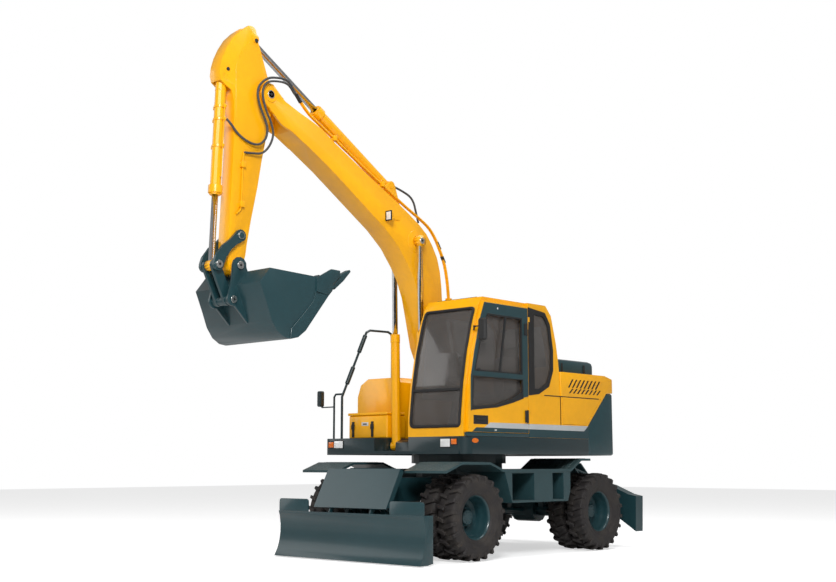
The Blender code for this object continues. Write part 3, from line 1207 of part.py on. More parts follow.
def centre_footprint():
    """Moves the whole machine so that the middle of its footprint box is the origin."""
    bpy.context.view_layer.update()
    corners = np.array([piece.matrix_world @ vertex.co for piece in PARTS.objects
                        if piece.type == "MESH" for vertex in piece.data.vertices])
    low, high = corners.min(axis=0), corners.max(axis=0)
    middle = (low + high) / 2
    BODIES["root"][0].location = (-middle[0], -middle[1], -low[2])
    bpy.context.view_layer.update()


build_undercarriage()
build_blade()
build_legs()
build_upper()
build_front()
centre_footprint()
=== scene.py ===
# %% [markdown]
# # A wheeled excavator, dressed for a studio
# The solid model of the machine is already there: every piece of steel at its real size, hanging on
# the joints it turns about. This lesson loads that frame and gives it everything the eye expects:
# paint with dust on whatever faces up, tyre lugs, hoses, lamps, latches, glass and rails. Nothing of the
# frame is moved. Each new piece is built in place and then told which body of the machine it rides on.

# %% Load the frame
import bpy
import bmesh
import json
from math import sin, cos, pi, radians, atan2, hypot
from mathutils import Matrix, Vector


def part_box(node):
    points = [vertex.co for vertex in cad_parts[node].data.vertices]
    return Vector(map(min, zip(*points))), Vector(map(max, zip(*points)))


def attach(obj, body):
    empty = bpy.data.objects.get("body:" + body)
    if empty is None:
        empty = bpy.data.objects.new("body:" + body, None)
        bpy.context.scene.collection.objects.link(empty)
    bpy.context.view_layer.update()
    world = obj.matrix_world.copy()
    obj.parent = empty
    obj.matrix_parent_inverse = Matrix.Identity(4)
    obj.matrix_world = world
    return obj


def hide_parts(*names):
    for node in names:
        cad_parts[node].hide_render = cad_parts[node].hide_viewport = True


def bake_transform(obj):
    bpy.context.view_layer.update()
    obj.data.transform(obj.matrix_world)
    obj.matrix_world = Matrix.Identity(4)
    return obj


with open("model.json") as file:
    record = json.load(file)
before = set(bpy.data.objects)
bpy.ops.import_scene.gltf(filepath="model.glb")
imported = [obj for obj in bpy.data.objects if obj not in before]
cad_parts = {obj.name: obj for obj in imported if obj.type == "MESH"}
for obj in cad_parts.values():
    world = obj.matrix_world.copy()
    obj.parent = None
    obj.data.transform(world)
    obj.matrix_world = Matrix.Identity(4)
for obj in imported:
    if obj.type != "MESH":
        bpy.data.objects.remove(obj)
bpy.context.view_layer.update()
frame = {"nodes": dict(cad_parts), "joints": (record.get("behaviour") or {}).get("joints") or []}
joints = {joint["name"]: joint for joint in frame["joints"]}

# %% [markdown]
# A machine is easiest to draw round its swing axis, because the boom, the cab and the axles are all
# placed from it on the drawings. The frame's origin lies under the middle of the footprint instead,
# so one helper, `at`, takes a point measured from the swing axis and gives its place in the frame.

# %% Where the swing axis stands
SWING_Y = joints["slew"]["pos_m"][1]
SIDES = {"left": 1, "right": -1}
WHEELS = [(f"{end}_{side}", sign) for end in ("front", "rear") for side, sign in SIDES.items()]


def at(x, y, z):
    """A point measured from the swing axis, as a place in the frame."""
    return Vector((x, y + SWING_Y, z))


print("swing axis at y =", round(SWING_Y, 4))

# %% [markdown]
# ## Paint, rubber, glass and chrome
# Working machines are never one flat colour. Paint fades in soft patches, dust settles on whatever
# faces up, and bare specks show where gravel has struck. One function
# makes every paint: two noise textures mottle the colour, a third drives the dust, and the surface
# normal decides how much of it stays. The roughness follows the dust, so clean paint shines and dusty
# paint does not. The noises read object coordinates, so they stay put when the piece moves.

# %% A small kit for node materials
DUST = (0.42, 0.36, 0.28, 1.0)


def new_material(name):
    """A node material with its Principled shader, and the object coordinates its textures read."""
    material = bpy.data.materials.new(name)
    material.use_nodes = True
    tree = material.node_tree
    shader = tree.nodes["Principled BSDF"]
    place = tree.nodes.new("ShaderNodeTexCoord")
    return material, tree, shader, place.outputs["Object"]


def noise(tree, place, scale, detail=4.0, stretch=(1, 1, 1)):
    """A noise texture in object space, stretched along an axis where the grain has a direction."""
    mapping = tree.nodes.new("ShaderNodeMapping")
    mapping.inputs["Scale"].default_value = stretch
    texture = tree.nodes.new("ShaderNodeTexNoise")
    texture.inputs["Scale"].default_value = scale
    texture.inputs["Detail"].default_value = detail
    tree.links.new(place, mapping.inputs["Vector"])
    tree.links.new(mapping.outputs["Vector"], texture.inputs["Vector"])
    return texture.outputs["Fac"]


def ramp(tree, value, low, high, out_low=0.0, out_high=1.0):
    """A value moved from one range to another, and held inside it."""
    node = tree.nodes.new("ShaderNodeMapRange")
    for socket, number in (("From Min", low), ("From Max", high), ("To Min", out_low), ("To Max", out_high)):
        node.inputs[socket].default_value = number
    tree.links.new(value, node.inputs["Value"])
    return node.outputs["Result"]


def maths(tree, operation, first, second):
    """Arithmetic on two sockets, or on a socket and a number."""
    node = tree.nodes.new("ShaderNodeMath")
    node.operation = operation
    for index, value in enumerate((first, second)):
        if isinstance(value, (int, float)):
            node.inputs[index].default_value = value
        else:
            tree.links.new(value, node.inputs[index])
    return node.outputs[0]


def mix(tree, amount, first, second):
    """Two colours mixed; each is a socket or a colour, and so the mix itself is a socket."""
    node = tree.nodes.new("ShaderNodeMix")
    node.data_type = "RGBA"
    tree.links.new(amount, node.inputs["Factor"])
    for name, value in (("A", first), ("B", second)):
        socket = [s for s in node.inputs if s.name == name and s.type == "RGBA"][0]
        if isinstance(value, tuple):
            socket.default_value = value
        else:
            tree.links.new(value, socket)
    return [s for s in node.outputs if s.type == "RGBA"][0]


def upward(tree):
    """How far the surface faces the sky, from 0 on walls to 1 on decks."""
    geometry = tree.nodes.new("ShaderNodeNewGeometry")
    split = tree.nodes.new("ShaderNodeSeparateXYZ")
    tree.links.new(geometry.outputs["Normal"], split.inputs[0])
    return ramp(tree, split.outputs["Z"], 0.25, 0.95)


def bump(tree, shader, height, strength, distance):
    node = tree.nodes.new("ShaderNodeBump")
    node.inputs["Strength"].default_value = strength
    node.inputs["Distance"].default_value = distance
    tree.links.new(height, node.inputs["Height"])
    tree.links.new(node.outputs["Normal"], shader.inputs["Normal"])


def shade(colour, factor):
    return tuple(min(1.0, part * factor) for part in colour[:3]) + (1.0,)


# %% Paint
def paint(name, colour, gloss, dust, grain=0.15, coat=0.25):
    """Machine paint: mottled, dusty where it faces up, with a fine orange-peel bump."""
    material, tree, shader, place = new_material(name)
    patches = ramp(tree, noise(tree, place, 1.6, 5.0), 0.35, 0.68)
    fine = ramp(tree, noise(tree, place, 14.0, 6.0), 0.40, 0.66)
    body = mix(tree, patches, shade(colour, 0.93), shade(colour, 1.05))
    body = mix(tree, maths(tree, "MULTIPLY", fine, 0.30), body, shade(colour, 0.86))
    settled = maths(tree, "MULTIPLY", upward(tree), ramp(tree, noise(tree, place, 5.0, 8.0), 0.30, 0.72, 0.25, 1.0))
    specks = ramp(tree, noise(tree, place, 55.0, 3.0), 0.62, 0.72)
    film = maths(tree, "ADD", maths(tree, "MULTIPLY", settled, dust), maths(tree, "MULTIPLY", specks, dust * 0.35))
    film = maths(tree, "MINIMUM", film, 0.9)
    tree.links.new(mix(tree, film, body, DUST), shader.inputs["Base Color"])
    tree.links.new(ramp(tree, film, 0.0, 0.8, gloss, 0.85), shader.inputs["Roughness"])
    shader.inputs["Coat Weight"].default_value = coat
    shader.inputs["Coat Roughness"].default_value = 0.12
    bump(tree, shader, noise(tree, place, 220.0, 2.0), grain, 0.0006)
    return material


YELLOW = paint("orange yellow paint", (0.96, 0.44, 0.0), 0.30, 0.02)
TEAL = paint("dark teal paint", (0.013, 0.047, 0.056), 0.34, 0.025)
DECK_TEAL = paint("worn deck paint", (0.020, 0.056, 0.064), 0.44, 0.12)
WORN_TEAL = paint("worn lozenge tops", (0.060, 0.110, 0.118), 0.42, 0.10)
DARK = paint("near black paint", (0.005, 0.022, 0.027), 0.34, 0.02)
SILVER = paint("silver stripe paint", (0.50, 0.52, 0.52), 0.30, 0.06)
WHITE = paint("white sleeve paint", (0.62, 0.62, 0.60), 0.35, 0.05)
ORANGE = paint("indicator orange", (0.80, 0.16, 0.0), 0.18, 0.0, 0.05, 0.6)
print("paints made:", YELLOW.name, TEAL.name, DECK_TEAL.name, DARK.name, SILVER.name)

# %% [markdown]
# Rubber is brown-black and dusty in patches. Chromed rods are bright with faint rings from honing.
# Tinted glass is a thin dark sheet that lets part of the light through, so the seat shows behind it.
# Bare steel is used for the pin ends. A worn steel is made for the cutting edge, though no piece takes it.

# %% Rubber, plastic, metal and glass
def rubber(name, colour, dust, scale=30.0):
    material, tree, shader, place = new_material(name)
    film = ramp(tree, noise(tree, place, 7.0, 8.0), 0.42, 0.75, 0.0, dust)
    mottled = mix(tree, noise(tree, place, scale, 4.0), shade(colour, 0.75), shade(colour, 1.3))
    tree.links.new(mix(tree, film, mottled, (0.20, 0.17, 0.13, 1.0)), shader.inputs["Base Color"])
    tree.links.new(ramp(tree, film, 0.0, dust + 0.01, 0.62, 0.9), shader.inputs["Roughness"])
    bump(tree, shader, noise(tree, place, 160.0, 3.0), 0.35, 0.0008)
    return material


def metal(name, colour, roughness, scale=90.0, stretch=(1, 1, 1), depth=0.08):
    material, tree, shader, place = new_material(name)
    grain = noise(tree, place, scale, 4.0, stretch)
    tree.links.new(mix(tree, grain, shade(colour, 0.86), shade(colour, 1.06)), shader.inputs["Base Color"])
    tree.links.new(ramp(tree, grain, 0.3, 0.7, roughness * 0.75, roughness * 1.35), shader.inputs["Roughness"])
    shader.inputs["Metallic"].default_value = 1.0
    bump(tree, shader, grain, depth, 0.0004)
    return material


def glass(name, colour, alpha):
    material, tree, shader, place = new_material(name)
    film = ramp(tree, noise(tree, place, 3.0, 6.0), 0.40, 0.75)
    tree.links.new(mix(tree, film, shade(colour, 0.9), shade(colour, 1.25)), shader.inputs["Base Color"])
    tree.links.new(ramp(tree, film, 0.0, 1.0, 0.03, 0.09), shader.inputs["Roughness"])
    tree.links.new(ramp(tree, film, 0.0, 1.0, alpha, alpha + 0.05), shader.inputs["Alpha"])
    shader.inputs["Specular IOR Level"].default_value = 0.8
    return material


TYRE = rubber("dusty tyre rubber", (0.017, 0.014, 0.014), 0.13)
HOSE = rubber("hose rubber", (0.045, 0.047, 0.05), 0.15, 60.0)
# Seal rubber also makes flat black plates of painted shade: the louvre slots and the grease holes.
SEAL_AND_SHADE_BLACK = rubber("window seal rubber and painted shade", (0.008, 0.008, 0.009), 0.05)
# The same black plastic makes the small dark discs of painted shade on the rims' hand holes.
BLACK_PLASTIC_AND_SHADE = rubber("black moulded plastic and painted shade", (0.012, 0.013, 0.014), 0.04, 90.0)
CHROME = metal("chromed rod", (0.80, 0.81, 0.82), 0.10, 40.0, (1, 1, 0.1))
STEEL = metal("bright pin steel", (0.62, 0.62, 0.60), 0.30)
WORN = metal("worn cutting steel", (0.20, 0.21, 0.22), 0.42, 25.0)
MIRROR = metal("mirror glass", (0.75, 0.78, 0.80), 0.05, 4.0, depth=0.0)
TINTED = glass("tinted glass", (0.10, 0.092, 0.086), 0.64)
LAMP_GLASS = glass("clear lamp glass", (0.86, 0.87, 0.86), 0.90)
print("rubber, plastic, metals and glass made")


# %% Fabric for the seat
def fabric(name, colour):
    """Woven cloth: two wave textures crossed, lighter on the raised threads."""
    material, tree, shader, place = new_material(name)
    threads = []
    for direction in ("X", "Z"):
        wave = tree.nodes.new("ShaderNodeTexWave")
        wave.bands_direction = direction
        wave.inputs["Scale"].default_value = 130.0
        wave.inputs["Distortion"].default_value = 0.6
        tree.links.new(place, wave.inputs["Vector"])
        threads.append(wave.outputs["Fac"])
    weave = maths(tree, "MULTIPLY", *threads)
    worn = ramp(tree, noise(tree, place, 6.0, 5.0), 0.35, 0.7)
    base = mix(tree, weave, shade(colour, 0.7), shade(colour, 1.5))
    tree.links.new(mix(tree, maths(tree, "MULTIPLY", worn, 0.35), base, shade(colour, 2.0)), shader.inputs["Base Color"])
    shader.inputs["Roughness"].default_value = 0.92
    shader.inputs["Sheen Weight"].default_value = 0.25
    bump(tree, shader, weave, 0.5, 0.001)
    return material


CLOTH = fabric("seat cloth", (0.045, 0.046, 0.05))
print("seat cloth made")

# %% [markdown]
# ## A kit of shapes
# Every new piece is drawn in a bmesh, Blender's editable mesh, with the same operators that the editor
# has on its keys. Seven small functions cover the whole machine: a box, a rod, a plate cut from an
# outline, a ring plate, a turned profile, a pipe pulled along a path and a copy stamped in place. All
# of them measure from the swing axis; `piece` moves the finished mesh into the frame, points its faces
# outwards, gives it a material and hangs it on a body.

# %% Boxes, rods and plates
def soften(bm, verts, radius, segments=2):
    """Rounds the sharp edges between these vertices."""
    if radius <= 0:
        return
    bm.normal_update()
    edges = {edge for vert in verts for edge in vert.link_edges}
    sharp = [edge for edge in edges if edge.is_manifold and edge.calc_face_angle() > radians(25)]
    bmesh.ops.bevel(bm, geom=sharp, offset=radius, affect="EDGES", segments=segments, profile=0.5,
                    material=-1)


def box(bm, x, y, z, radius=0.0):
    """A box between three pairs of bounds, with rounded edges."""
    low, high = (Vector(pick(span) for span in (x, y, z)) for pick in (min, max))
    place = Matrix.Translation((low + high) / 2) @ Matrix.Diagonal((*(high - low), 1.0))
    made = bmesh.ops.create_cube(bm, size=1.0, matrix=place)
    soften(bm, made["verts"], radius)


def rod(bm, start, end, radius, end_radius=None, sides=20, edge=0.0):
    """A round bar or a cone between two points."""
    start, end = Vector(start), Vector(end)
    turn = (end - start).to_track_quat("Z", "Y").to_matrix().to_4x4()
    made = bmesh.ops.create_cone(
        bm, cap_ends=True, segments=sides, radius1=radius, radius2=radius if end_radius is None else end_radius,
        depth=(end - start).length, matrix=Matrix.Translation((start + end) / 2) @ turn)
    soften(bm, made["verts"], edge, 1)


def pin(bm, x, point, radius, edge=0.0, sides=24):
    """A round bar across the machine at a (y, z) point."""
    rod(bm, (x[0], *point), (x[1], *point), radius, None, sides, edge)


def loop_at(bm, across, level, outline):
    """The vertices of an outline in the plane across an axis, at one level."""
    index = "xyz".index(across)
    verts = []
    for pair in outline:
        place = list(pair)
        place.insert(index, level)
        verts.append(bm.verts.new(place))
    return verts


def pull(bm, faces, across, depth):
    """Pulls flat faces into a solid along an axis, and returns all its vertices."""
    old = {vert for face in faces for vert in face.verts}
    pulled = bmesh.ops.extrude_face_region(bm, geom=faces, use_keep_orig=True)["geom"]
    moved = [item for item in pulled if isinstance(item, bmesh.types.BMVert)]
    way = Vector((0, 0, 0))
    way["xyz".index(across)] = depth
    bmesh.ops.translate(bm, verts=moved, vec=way)
    return list(old) + moved


def plate(bm, across, span, outline, radius=0.0):
    """A flat plate cut to an outline, with its thickness along the named axis."""
    face = bm.faces.new(loop_at(bm, across, span[0], outline))
    verts = pull(bm, [face], across, span[1] - span[0])
    soften(bm, verts, radius, 1)


def ring_plate(bm, across, span, outer, inner, radius=0.0):
    """A flat frame between two outlines that have as many points as each other."""
    faces = []
    rings = [loop_at(bm, across, span[0], outline) for outline in (outer, inner)]
    for here, there in zip(range(-1, len(outer) - 1), range(len(outer))):
        faces.append(bm.faces.new((rings[0][here], rings[0][there], rings[1][there], rings[1][here])))
    verts = pull(bm, faces, across, span[1] - span[0])
    soften(bm, verts, radius, 1)


# %% Turned shapes, pipes and copies
def turned(bm, profile, centre, axis, sides=32, closed=False):
    """A profile of (radius, height along the axis) points spun all the way round."""
    axis, centre = Vector(axis).normalized(), Vector(centre)
    out = axis.orthogonal().normalized()
    verts = [bm.verts.new(centre + axis * height + out * radius) for radius, height in profile]
    pairs = list(zip(verts, verts[1:])) + ([(verts[-1], verts[0])] if closed else [])
    edges = [bm.edges.new(pair) for pair in pairs]
    before = set(bm.verts) - set(verts)
    bmesh.ops.spin(bm, geom=verts + edges, cent=centre, axis=axis, angle=2 * pi, steps=sides, use_merge=True)
    bmesh.ops.remove_doubles(bm, verts=[vert for vert in bm.verts if vert not in before], dist=1e-6)


def bent(points, radius, steps=4):
    """A path whose corners are rounded to a bend radius, as a pipe bender leaves them."""
    points = [Vector(point) for point in points]
    path = [points[0]]
    for before, corner, after in zip(points, points[1:], points[2:]):
        reach = min(radius, (before - corner).length * 0.48, (after - corner).length * 0.48)
        start = corner + (before - corner).normalized() * reach
        end = corner + (after - corner).normalized() * reach
        for step in range(steps + 1):
            share = step / steps
            path.append(start.lerp(corner, share).lerp(corner.lerp(end, share), share))
    path.append(points[-1])
    return path


def flowing(points, steps=5):
    """A smooth path through a few points, as a slack hose hangs."""
    points = [Vector(point) for point in points]
    ends = [points[0] * 2 - points[1]] + points + [points[-1] * 2 - points[-2]]
    path = []
    for a, b, c, d in zip(ends, ends[1:], ends[2:], ends[3:]):
        for step in range(steps):
            t = step / steps
            path.append(0.5 * (b * 2 + (c - a) * t + (a * 2 - b * 5 + c * 4 - d) * t * t
                               + (b * 3 - a - c * 3 + d) * t ** 3))
    path.append(points[-1])
    return path


def pipe(bm, path, radius, sides=10):
    """A circle pulled along a path: each step extrudes the ring and turns it to face the way ahead."""
    path = [Vector(point) for point in path]
    ways = [(after - before).normalized() for before, after in zip(path, path[1:])]
    facings = [ways[0]] + [(a + b).normalized() for a, b in zip(ways, ways[1:])] + [ways[-1]]
    turn = facings[0].to_track_quat("Z", "Y")
    place = Matrix.Translation(path[0]) @ turn.to_matrix().to_4x4()
    ring = bmesh.ops.create_circle(bm, cap_ends=False, segments=sides, radius=radius, matrix=place)["verts"]
    edges = list({edge for vert in ring for edge in vert.link_edges})
    bmesh.ops.contextual_create(bm, geom=edges)
    for point, facing, last in zip(path[1:], facings[1:], facings):
        turn = last.rotation_difference(facing) @ turn
        ahead = Matrix.Translation(point) @ turn.to_matrix().to_4x4()
        grown = bmesh.ops.extrude_edge_only(bm, edges=edges)["geom"]
        ring = [item for item in grown if isinstance(item, bmesh.types.BMVert)]
        edges = [item for item in grown if isinstance(item, bmesh.types.BMEdge)
                 and all(vert in ring for vert in item.verts)]
        bmesh.ops.transform(bm, matrix=ahead @ place.inverted(), verts=ring)
        place = ahead
    bmesh.ops.contextual_create(bm, geom=edges)


def stamp(bm, shape, places):
    """Copies of a finished small mesh, one at each place."""
    for place in places:
        before = len(bm.verts)
        bm.from_mesh(shape)
        bm.verts.ensure_lookup_table()
        bmesh.ops.transform(bm, matrix=place, verts=bm.verts[before:])


def small_mesh(name, bm):
    """A bmesh kept as a mesh, to be stamped many times."""
    bmesh.ops.recalc_face_normals(bm, faces=bm.faces)
    mesh = bpy.data.meshes.new(name)
    bm.to_mesh(mesh)
    bm.free()
    return mesh


def piece(name, bm, material, body, slot, *stands_for, crease=32):
    """Moves a finished bmesh into the frame, gives it its finish and hangs it on its body."""
    bmesh.ops.recalc_face_normals(bm, faces=bm.faces)
    bmesh.ops.translate(bm, verts=bm.verts, vec=(0.0, SWING_Y, 0.0))
    mesh = bpy.data.meshes.new(name)
    bm.to_mesh(mesh)
    bm.free()
    mesh.shade_smooth()
    mesh.set_sharp_from_angle(angle=radians(crease))
    mesh.materials.append(material)
    made = bpy.data.objects.new(name, mesh)
    bpy.context.scene.collection.objects.link(made)
    if body:
        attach(made, body)
    if stands_for:
        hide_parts(*stands_for)
    return made


print("shape kit ready")

# %% [markdown]
# Steel plate never has a razor edge: presses and welders leave a small radius, and that radius is what
# catches the light. The frame's solids are sharp, so the large ones are copied, cleaned of the doubled
# corners and flat triangles they came with, and their edges bevelled. The copy stands for the original.

# %% Softer copies of the frame's solids
def softened(node_name, radius, material, slot, body, segments=2, shortest=3.0, keep=None):
    """A copy of a frame node with its sharp edges rounded."""
    bm = bmesh.new()
    bm.from_mesh(frame["nodes"][node_name].data)
    bmesh.ops.remove_doubles(bm, verts=bm.verts, dist=1e-5)
    bmesh.ops.dissolve_limit(bm, angle_limit=radians(0.4), verts=bm.verts, edges=bm.edges, use_dissolve_boundaries=False)
    bm.normal_update()
    sharp = [edge for edge in bm.edges if edge.is_manifold and edge.calc_face_angle() > radians(28)
             and edge.calc_length() > radius * shortest and (keep is None or keep(edge))]
    bmesh.ops.bevel(bm, geom=sharp, offset=radius, affect="EDGES", segments=segments, profile=0.5, material=-1,
                    clamp_overlap=True)
    bmesh.ops.translate(bm, verts=bm.verts, vec=(0.0, -SWING_Y, 0.0))
    return piece(node_name + "_rounded", bm, material, body, slot, node_name)


# %% [markdown]
# ## Dressing the frame
# Most of the frame's solids already have the right shape, so they only take a material. The table
# below is read from top to bottom and the first match wins: a name's first letters decide its finish.

# %% Finish by node name
FINISHES = [
    ("twin_tyres", TYRE), ("twin_rims", TEAL), ("boom_cylinder_barrel", YELLOW), ("arm_cylinder_barrel", YELLOW),
    ("bucket_cylinder_barrel", YELLOW), ("arm_cylinder_rod", CHROME), ("boom_cylinder_rod", CHROME),
    ("bucket_cylinder_rod", CHROME), ("blade_cylinder_rod", CHROME), ("leg_cylinder_rod", CHROME),
    ("boom", YELLOW), ("arm", YELLOW), ("cab_shell", YELLOW), ("cab_door", YELLOW), ("right_tanks", YELLOW),
    ("tool_box", YELLOW), ("rear_body", YELLOW), ("service_door", YELLOW), ("engine_hood", TEAL),
    ("operator_seat", CLOTH), ("right_handrail", DARK), ("left_mirror", BLACK_PLASTIC_AND_SHADE), ("fender", DECK_TEAL),
    ("windscreen", TINTED), ("door_glass", TINTED), ("right_glass", TINTED), ("rear_glass", TINTED),
    ("quarter_glass", TINTED), ("engine_block", DARK), ("upper_frame", DARK),
    ("", TEAL),
]
for node_name, node in frame["nodes"].items():
    finish = next(material for start, material in FINISHES if node_name.startswith(start))
    node.data.materials.clear()
    node.data.materials.append(finish)
print("dressed", len(frame["nodes"]), "nodes")

# %% [markdown]
# ## Wheels
# The machine rolls on four pairs of cross-ply tyres. Each tread has two rows of heavy bars set half a
# pitch apart, which bend over the shoulder and run a little way down the sidewall. A texture could fake
# them, but the bars break the outline of the tyre, so they are modelled: one bar is drawn, then stamped
# round the carcass, which is a turned profile with two thin rings moulded into its wall.

# %% The tyre's sizes, read from the frame
tyre_low, tyre_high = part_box("twin_tyres_rear_left")
TYRE_RADIUS = (tyre_high.z - tyre_low.z) / 2
TYRE_CENTRE_Z = (tyre_high.z + tyre_low.z) / 2
TYRE_HALF = 0.1325
TWIN_STEP = (tyre_high.x - tyre_low.x) - TYRE_HALF * 2
OUTER_X = tyre_high.x - TYRE_HALF
INNER_X = OUTER_X - TWIN_STEP
AXLES = {end: (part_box(f"twin_tyres_{end}_left")[0].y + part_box(f"twin_tyres_{end}_left")[1].y) / 2 - SWING_Y
         for end in ("front", "rear")}
BAR_COUNT = 22
LUG_DEPTH = 0.036
CORNER_DROP = 0.0030
CARCASS = TYRE_RADIUS - LUG_DEPTH
print("tyre radius", round(TYRE_RADIUS, 3), "axles at", {end: round(y, 3) for end, y in AXLES.items()})


# %% One tread bar, and the carcass
def tread_bar():
    """One bar: a slanting block on the crown and a tapered block on the shoulder."""
    bm = bmesh.new()
    crown = [(0.004, -0.052), (0.060, -0.034), (0.1235, -0.014), (0.1235, 0.030), (0.060, 0.012), (0.004, -0.010)]
    plate(bm, "z", (CARCASS - 0.012, TYRE_RADIUS - CORNER_DROP), crown)
    for vert in bm.verts:
        if vert.co.z > CARCASS and vert.co.x > 0.1:
            vert.co.z -= 0.007
    shoulder = [(CARCASS - 0.062, 0.128), (CARCASS - 0.010, 0.112), (TYRE_RADIUS - 0.009, 0.112),
                (TYRE_RADIUS - 0.011, 0.1265), (CARCASS - 0.02, TYRE_HALF + 0.004), (CARCASS - 0.055, TYRE_HALF + 0.0015)]
    plate(bm, "y", (-0.012, 0.027), [(x, z) for z, x in shoulder])
    soften(bm, list(bm.verts), 0.0045, 1)
    return small_mesh("tread bar", bm)


SIDEWALL = [(0.262, 0.072), (0.268, 0.086), (0.285, 0.099), (0.300, 0.106), (0.303, 0.1085), (0.309, 0.1085),
            (0.312, 0.111), (0.345, 0.123), (0.349, 0.1265), (0.355, 0.1265), (0.359, 0.127), (0.395, 0.1325),
            (0.430, 0.1305), (0.455, 0.124), (0.470, 0.113), (CARCASS - 0.002, 0.095), (CARCASS, 0.055)]


def tyre(bm, x, bar):
    """A carcass at x with both rows of its bars."""
    profile = SIDEWALL + [(radius, -height) for radius, height in reversed(SIDEWALL)]
    turned(bm, profile, (x, 0, 0), (1, 0, 0), 64, closed=True)
    for row in (1, -1):
        mirror = Matrix.Diagonal((row, 1, 1, 1))
        for index in range(BAR_COUNT):
            angle = 2 * pi * (index + (0.5 if row < 0 else 0.0)) / BAR_COUNT
            stamp(bm, bar, [Matrix.Translation((x, 0, 0)) @ Matrix.Rotation(angle, 4, "X") @ mirror])


bar_shape = tread_bar()
bm = bmesh.new()
for tyre_x in (OUTER_X, INNER_X):
    tyre(bm, tyre_x, bar_shape)
tyre_shape = small_mesh("tyre pair", bm)
print("a tyre pair has", len(tyre_shape.polygons), "faces")

# %% [markdown]
# The rims are deep dishes: the disc sits far inside, and only the hub stands up from its floor. One
# profile, spun round the axle, gives the rolled flange, the barrel and the disc; bolts and the locking
# ring's slot are added on top, and small dark discs are painted shade where the hand holes are.

# %% Rims
RIM = [(0.0, -0.048), (0.080, -0.048), (0.090, -0.056), (0.092, -0.110), (0.102, -0.122), (0.165, -0.126),
       (0.190, -0.138), (0.212, -0.138), (0.224, -0.126), (0.229, -0.090), (0.233, -0.040), (0.240, -0.028),
       (0.242, 0.020), (0.246, 0.052), (0.256, 0.070), (0.268, 0.080), (0.278, 0.083), (0.286, 0.091),
       (0.2895, 0.089), (0.2905, 0.082), (0.286, 0.0765), (0.262, 0.0757), (0.262, -0.0757), (0.289, -0.0757)]
HUB_END = INNER_X + 0.160


def rim(bm):
    """Both rims of a pair on their hub, with the wheel nuts and the hub's cap screws."""
    step = OUTER_X - INNER_X
    inner = [(0.262, -0.10), (0.262, 0.10 - step), (0.289, 0.0757 - step), (0.262, 0.0757 - step),
             (0.262, -0.0757 - step), (0.289, -0.0757 - step), (0.289, -0.0877 - step), (0.236, -0.0877 - step),
             (0.236, HUB_END + 0.04 - OUTER_X), (0.14, HUB_END + 0.02 - OUTER_X), (0.14, HUB_END + 0.003 - OUTER_X),
             (0.0, HUB_END + 0.003 - OUTER_X)]
    turned(bm, RIM + inner, (OUTER_X, 0, 0), (1, 0, 0), 56)
    for index in range(10):
        angle = 2 * pi * index / 10
        spot = (OUTER_X - 0.124, 0.132 * cos(angle), 0.132 * sin(angle))
        rod(bm, spot, (spot[0] + 0.022, *spot[1:]), 0.0145, 0.013, 6)
        rod(bm, spot, (spot[0] + 0.034, *spot[1:]), 0.007, None, 8)
    for index in range(8):
        angle = 2 * pi * (index + 0.5) / 8
        spot = (OUTER_X - 0.049, 0.062 * cos(angle), 0.062 * sin(angle))
        rod(bm, spot, (spot[0] + 0.008, *spot[1:]), 0.008, None, 6)


bm = bmesh.new()
rim(bm)
rim_shape = small_mesh("rim pair", bm)
# Small dark discs where the hand holes are: painted shade standing in for the openings, which are not cut through the
# rim.
bm = bmesh.new()
for index in range(5):
    angle = 2 * pi * (index + 0.25) / 5
    spot = (OUTER_X - 0.1365, 0.201 * cos(angle), 0.201 * sin(angle))
    rod(bm, spot, (spot[0] + 0.0015, *spot[1:]), 0.010, None, 16)
hole_shade_discs = small_mesh("hand holes", bm)
for where, side in WHEELS:
    end = where.split("_")[0]
    place = Matrix.Translation((0, AXLES[end], TYRE_CENTRE_Z)) @ Matrix.Diagonal((side, 1, 1, 1))
    for name, shape, finish, slot, hidden in (
            ("tyres", tyre_shape, TYRE, "tyre_rubber", ["twin_tyres_" + where]),
            ("rims", rim_shape, TEAL, "teal_paint", ["twin_rims_" + where]),
            ("rim_hole_shade", hole_shade_discs, BLACK_PLASTIC_AND_SHADE, "black_plastic", [])):
        bm = bmesh.new()
        stamp(bm, shape, [place])
        piece(f"{name}_{where}", bm, finish, "wheel_" + where, slot, *hidden)
print("tyres and rims on", len(WHEELS), "corners")

# %% [markdown]
# ## Cab
# Seals, frames and small fittings make a cab read as a cab. The windscreen's rubber is a pipe that
# follows the bent front pillars, so the front profile of the cab is written down once and every height
# on it is found by interpolation.

# %% Seals round the windscreen and the side window
FRONT = [(-1.31, 1.478), (-1.31, 1.70), (-1.265, 2.10), (-1.19, 2.50), (-1.08, 2.90), (-1.01, 3.08), (-0.965, 3.165)]
SCREEN_X, SCREEN_Z = (0.345, 1.14), (1.60, 3.05)
SKIN_X = 1.2352
DOOR_X = 1.2372


def front_y(z):
    """The depth of the cab's front at a height."""
    for (y0, z0), (y1, z1) in zip(FRONT, FRONT[1:]):
        if z <= z1:
            return y0 + (y1 - y0) * (z - z0) / (z1 - z0)
    return FRONT[-1][0]


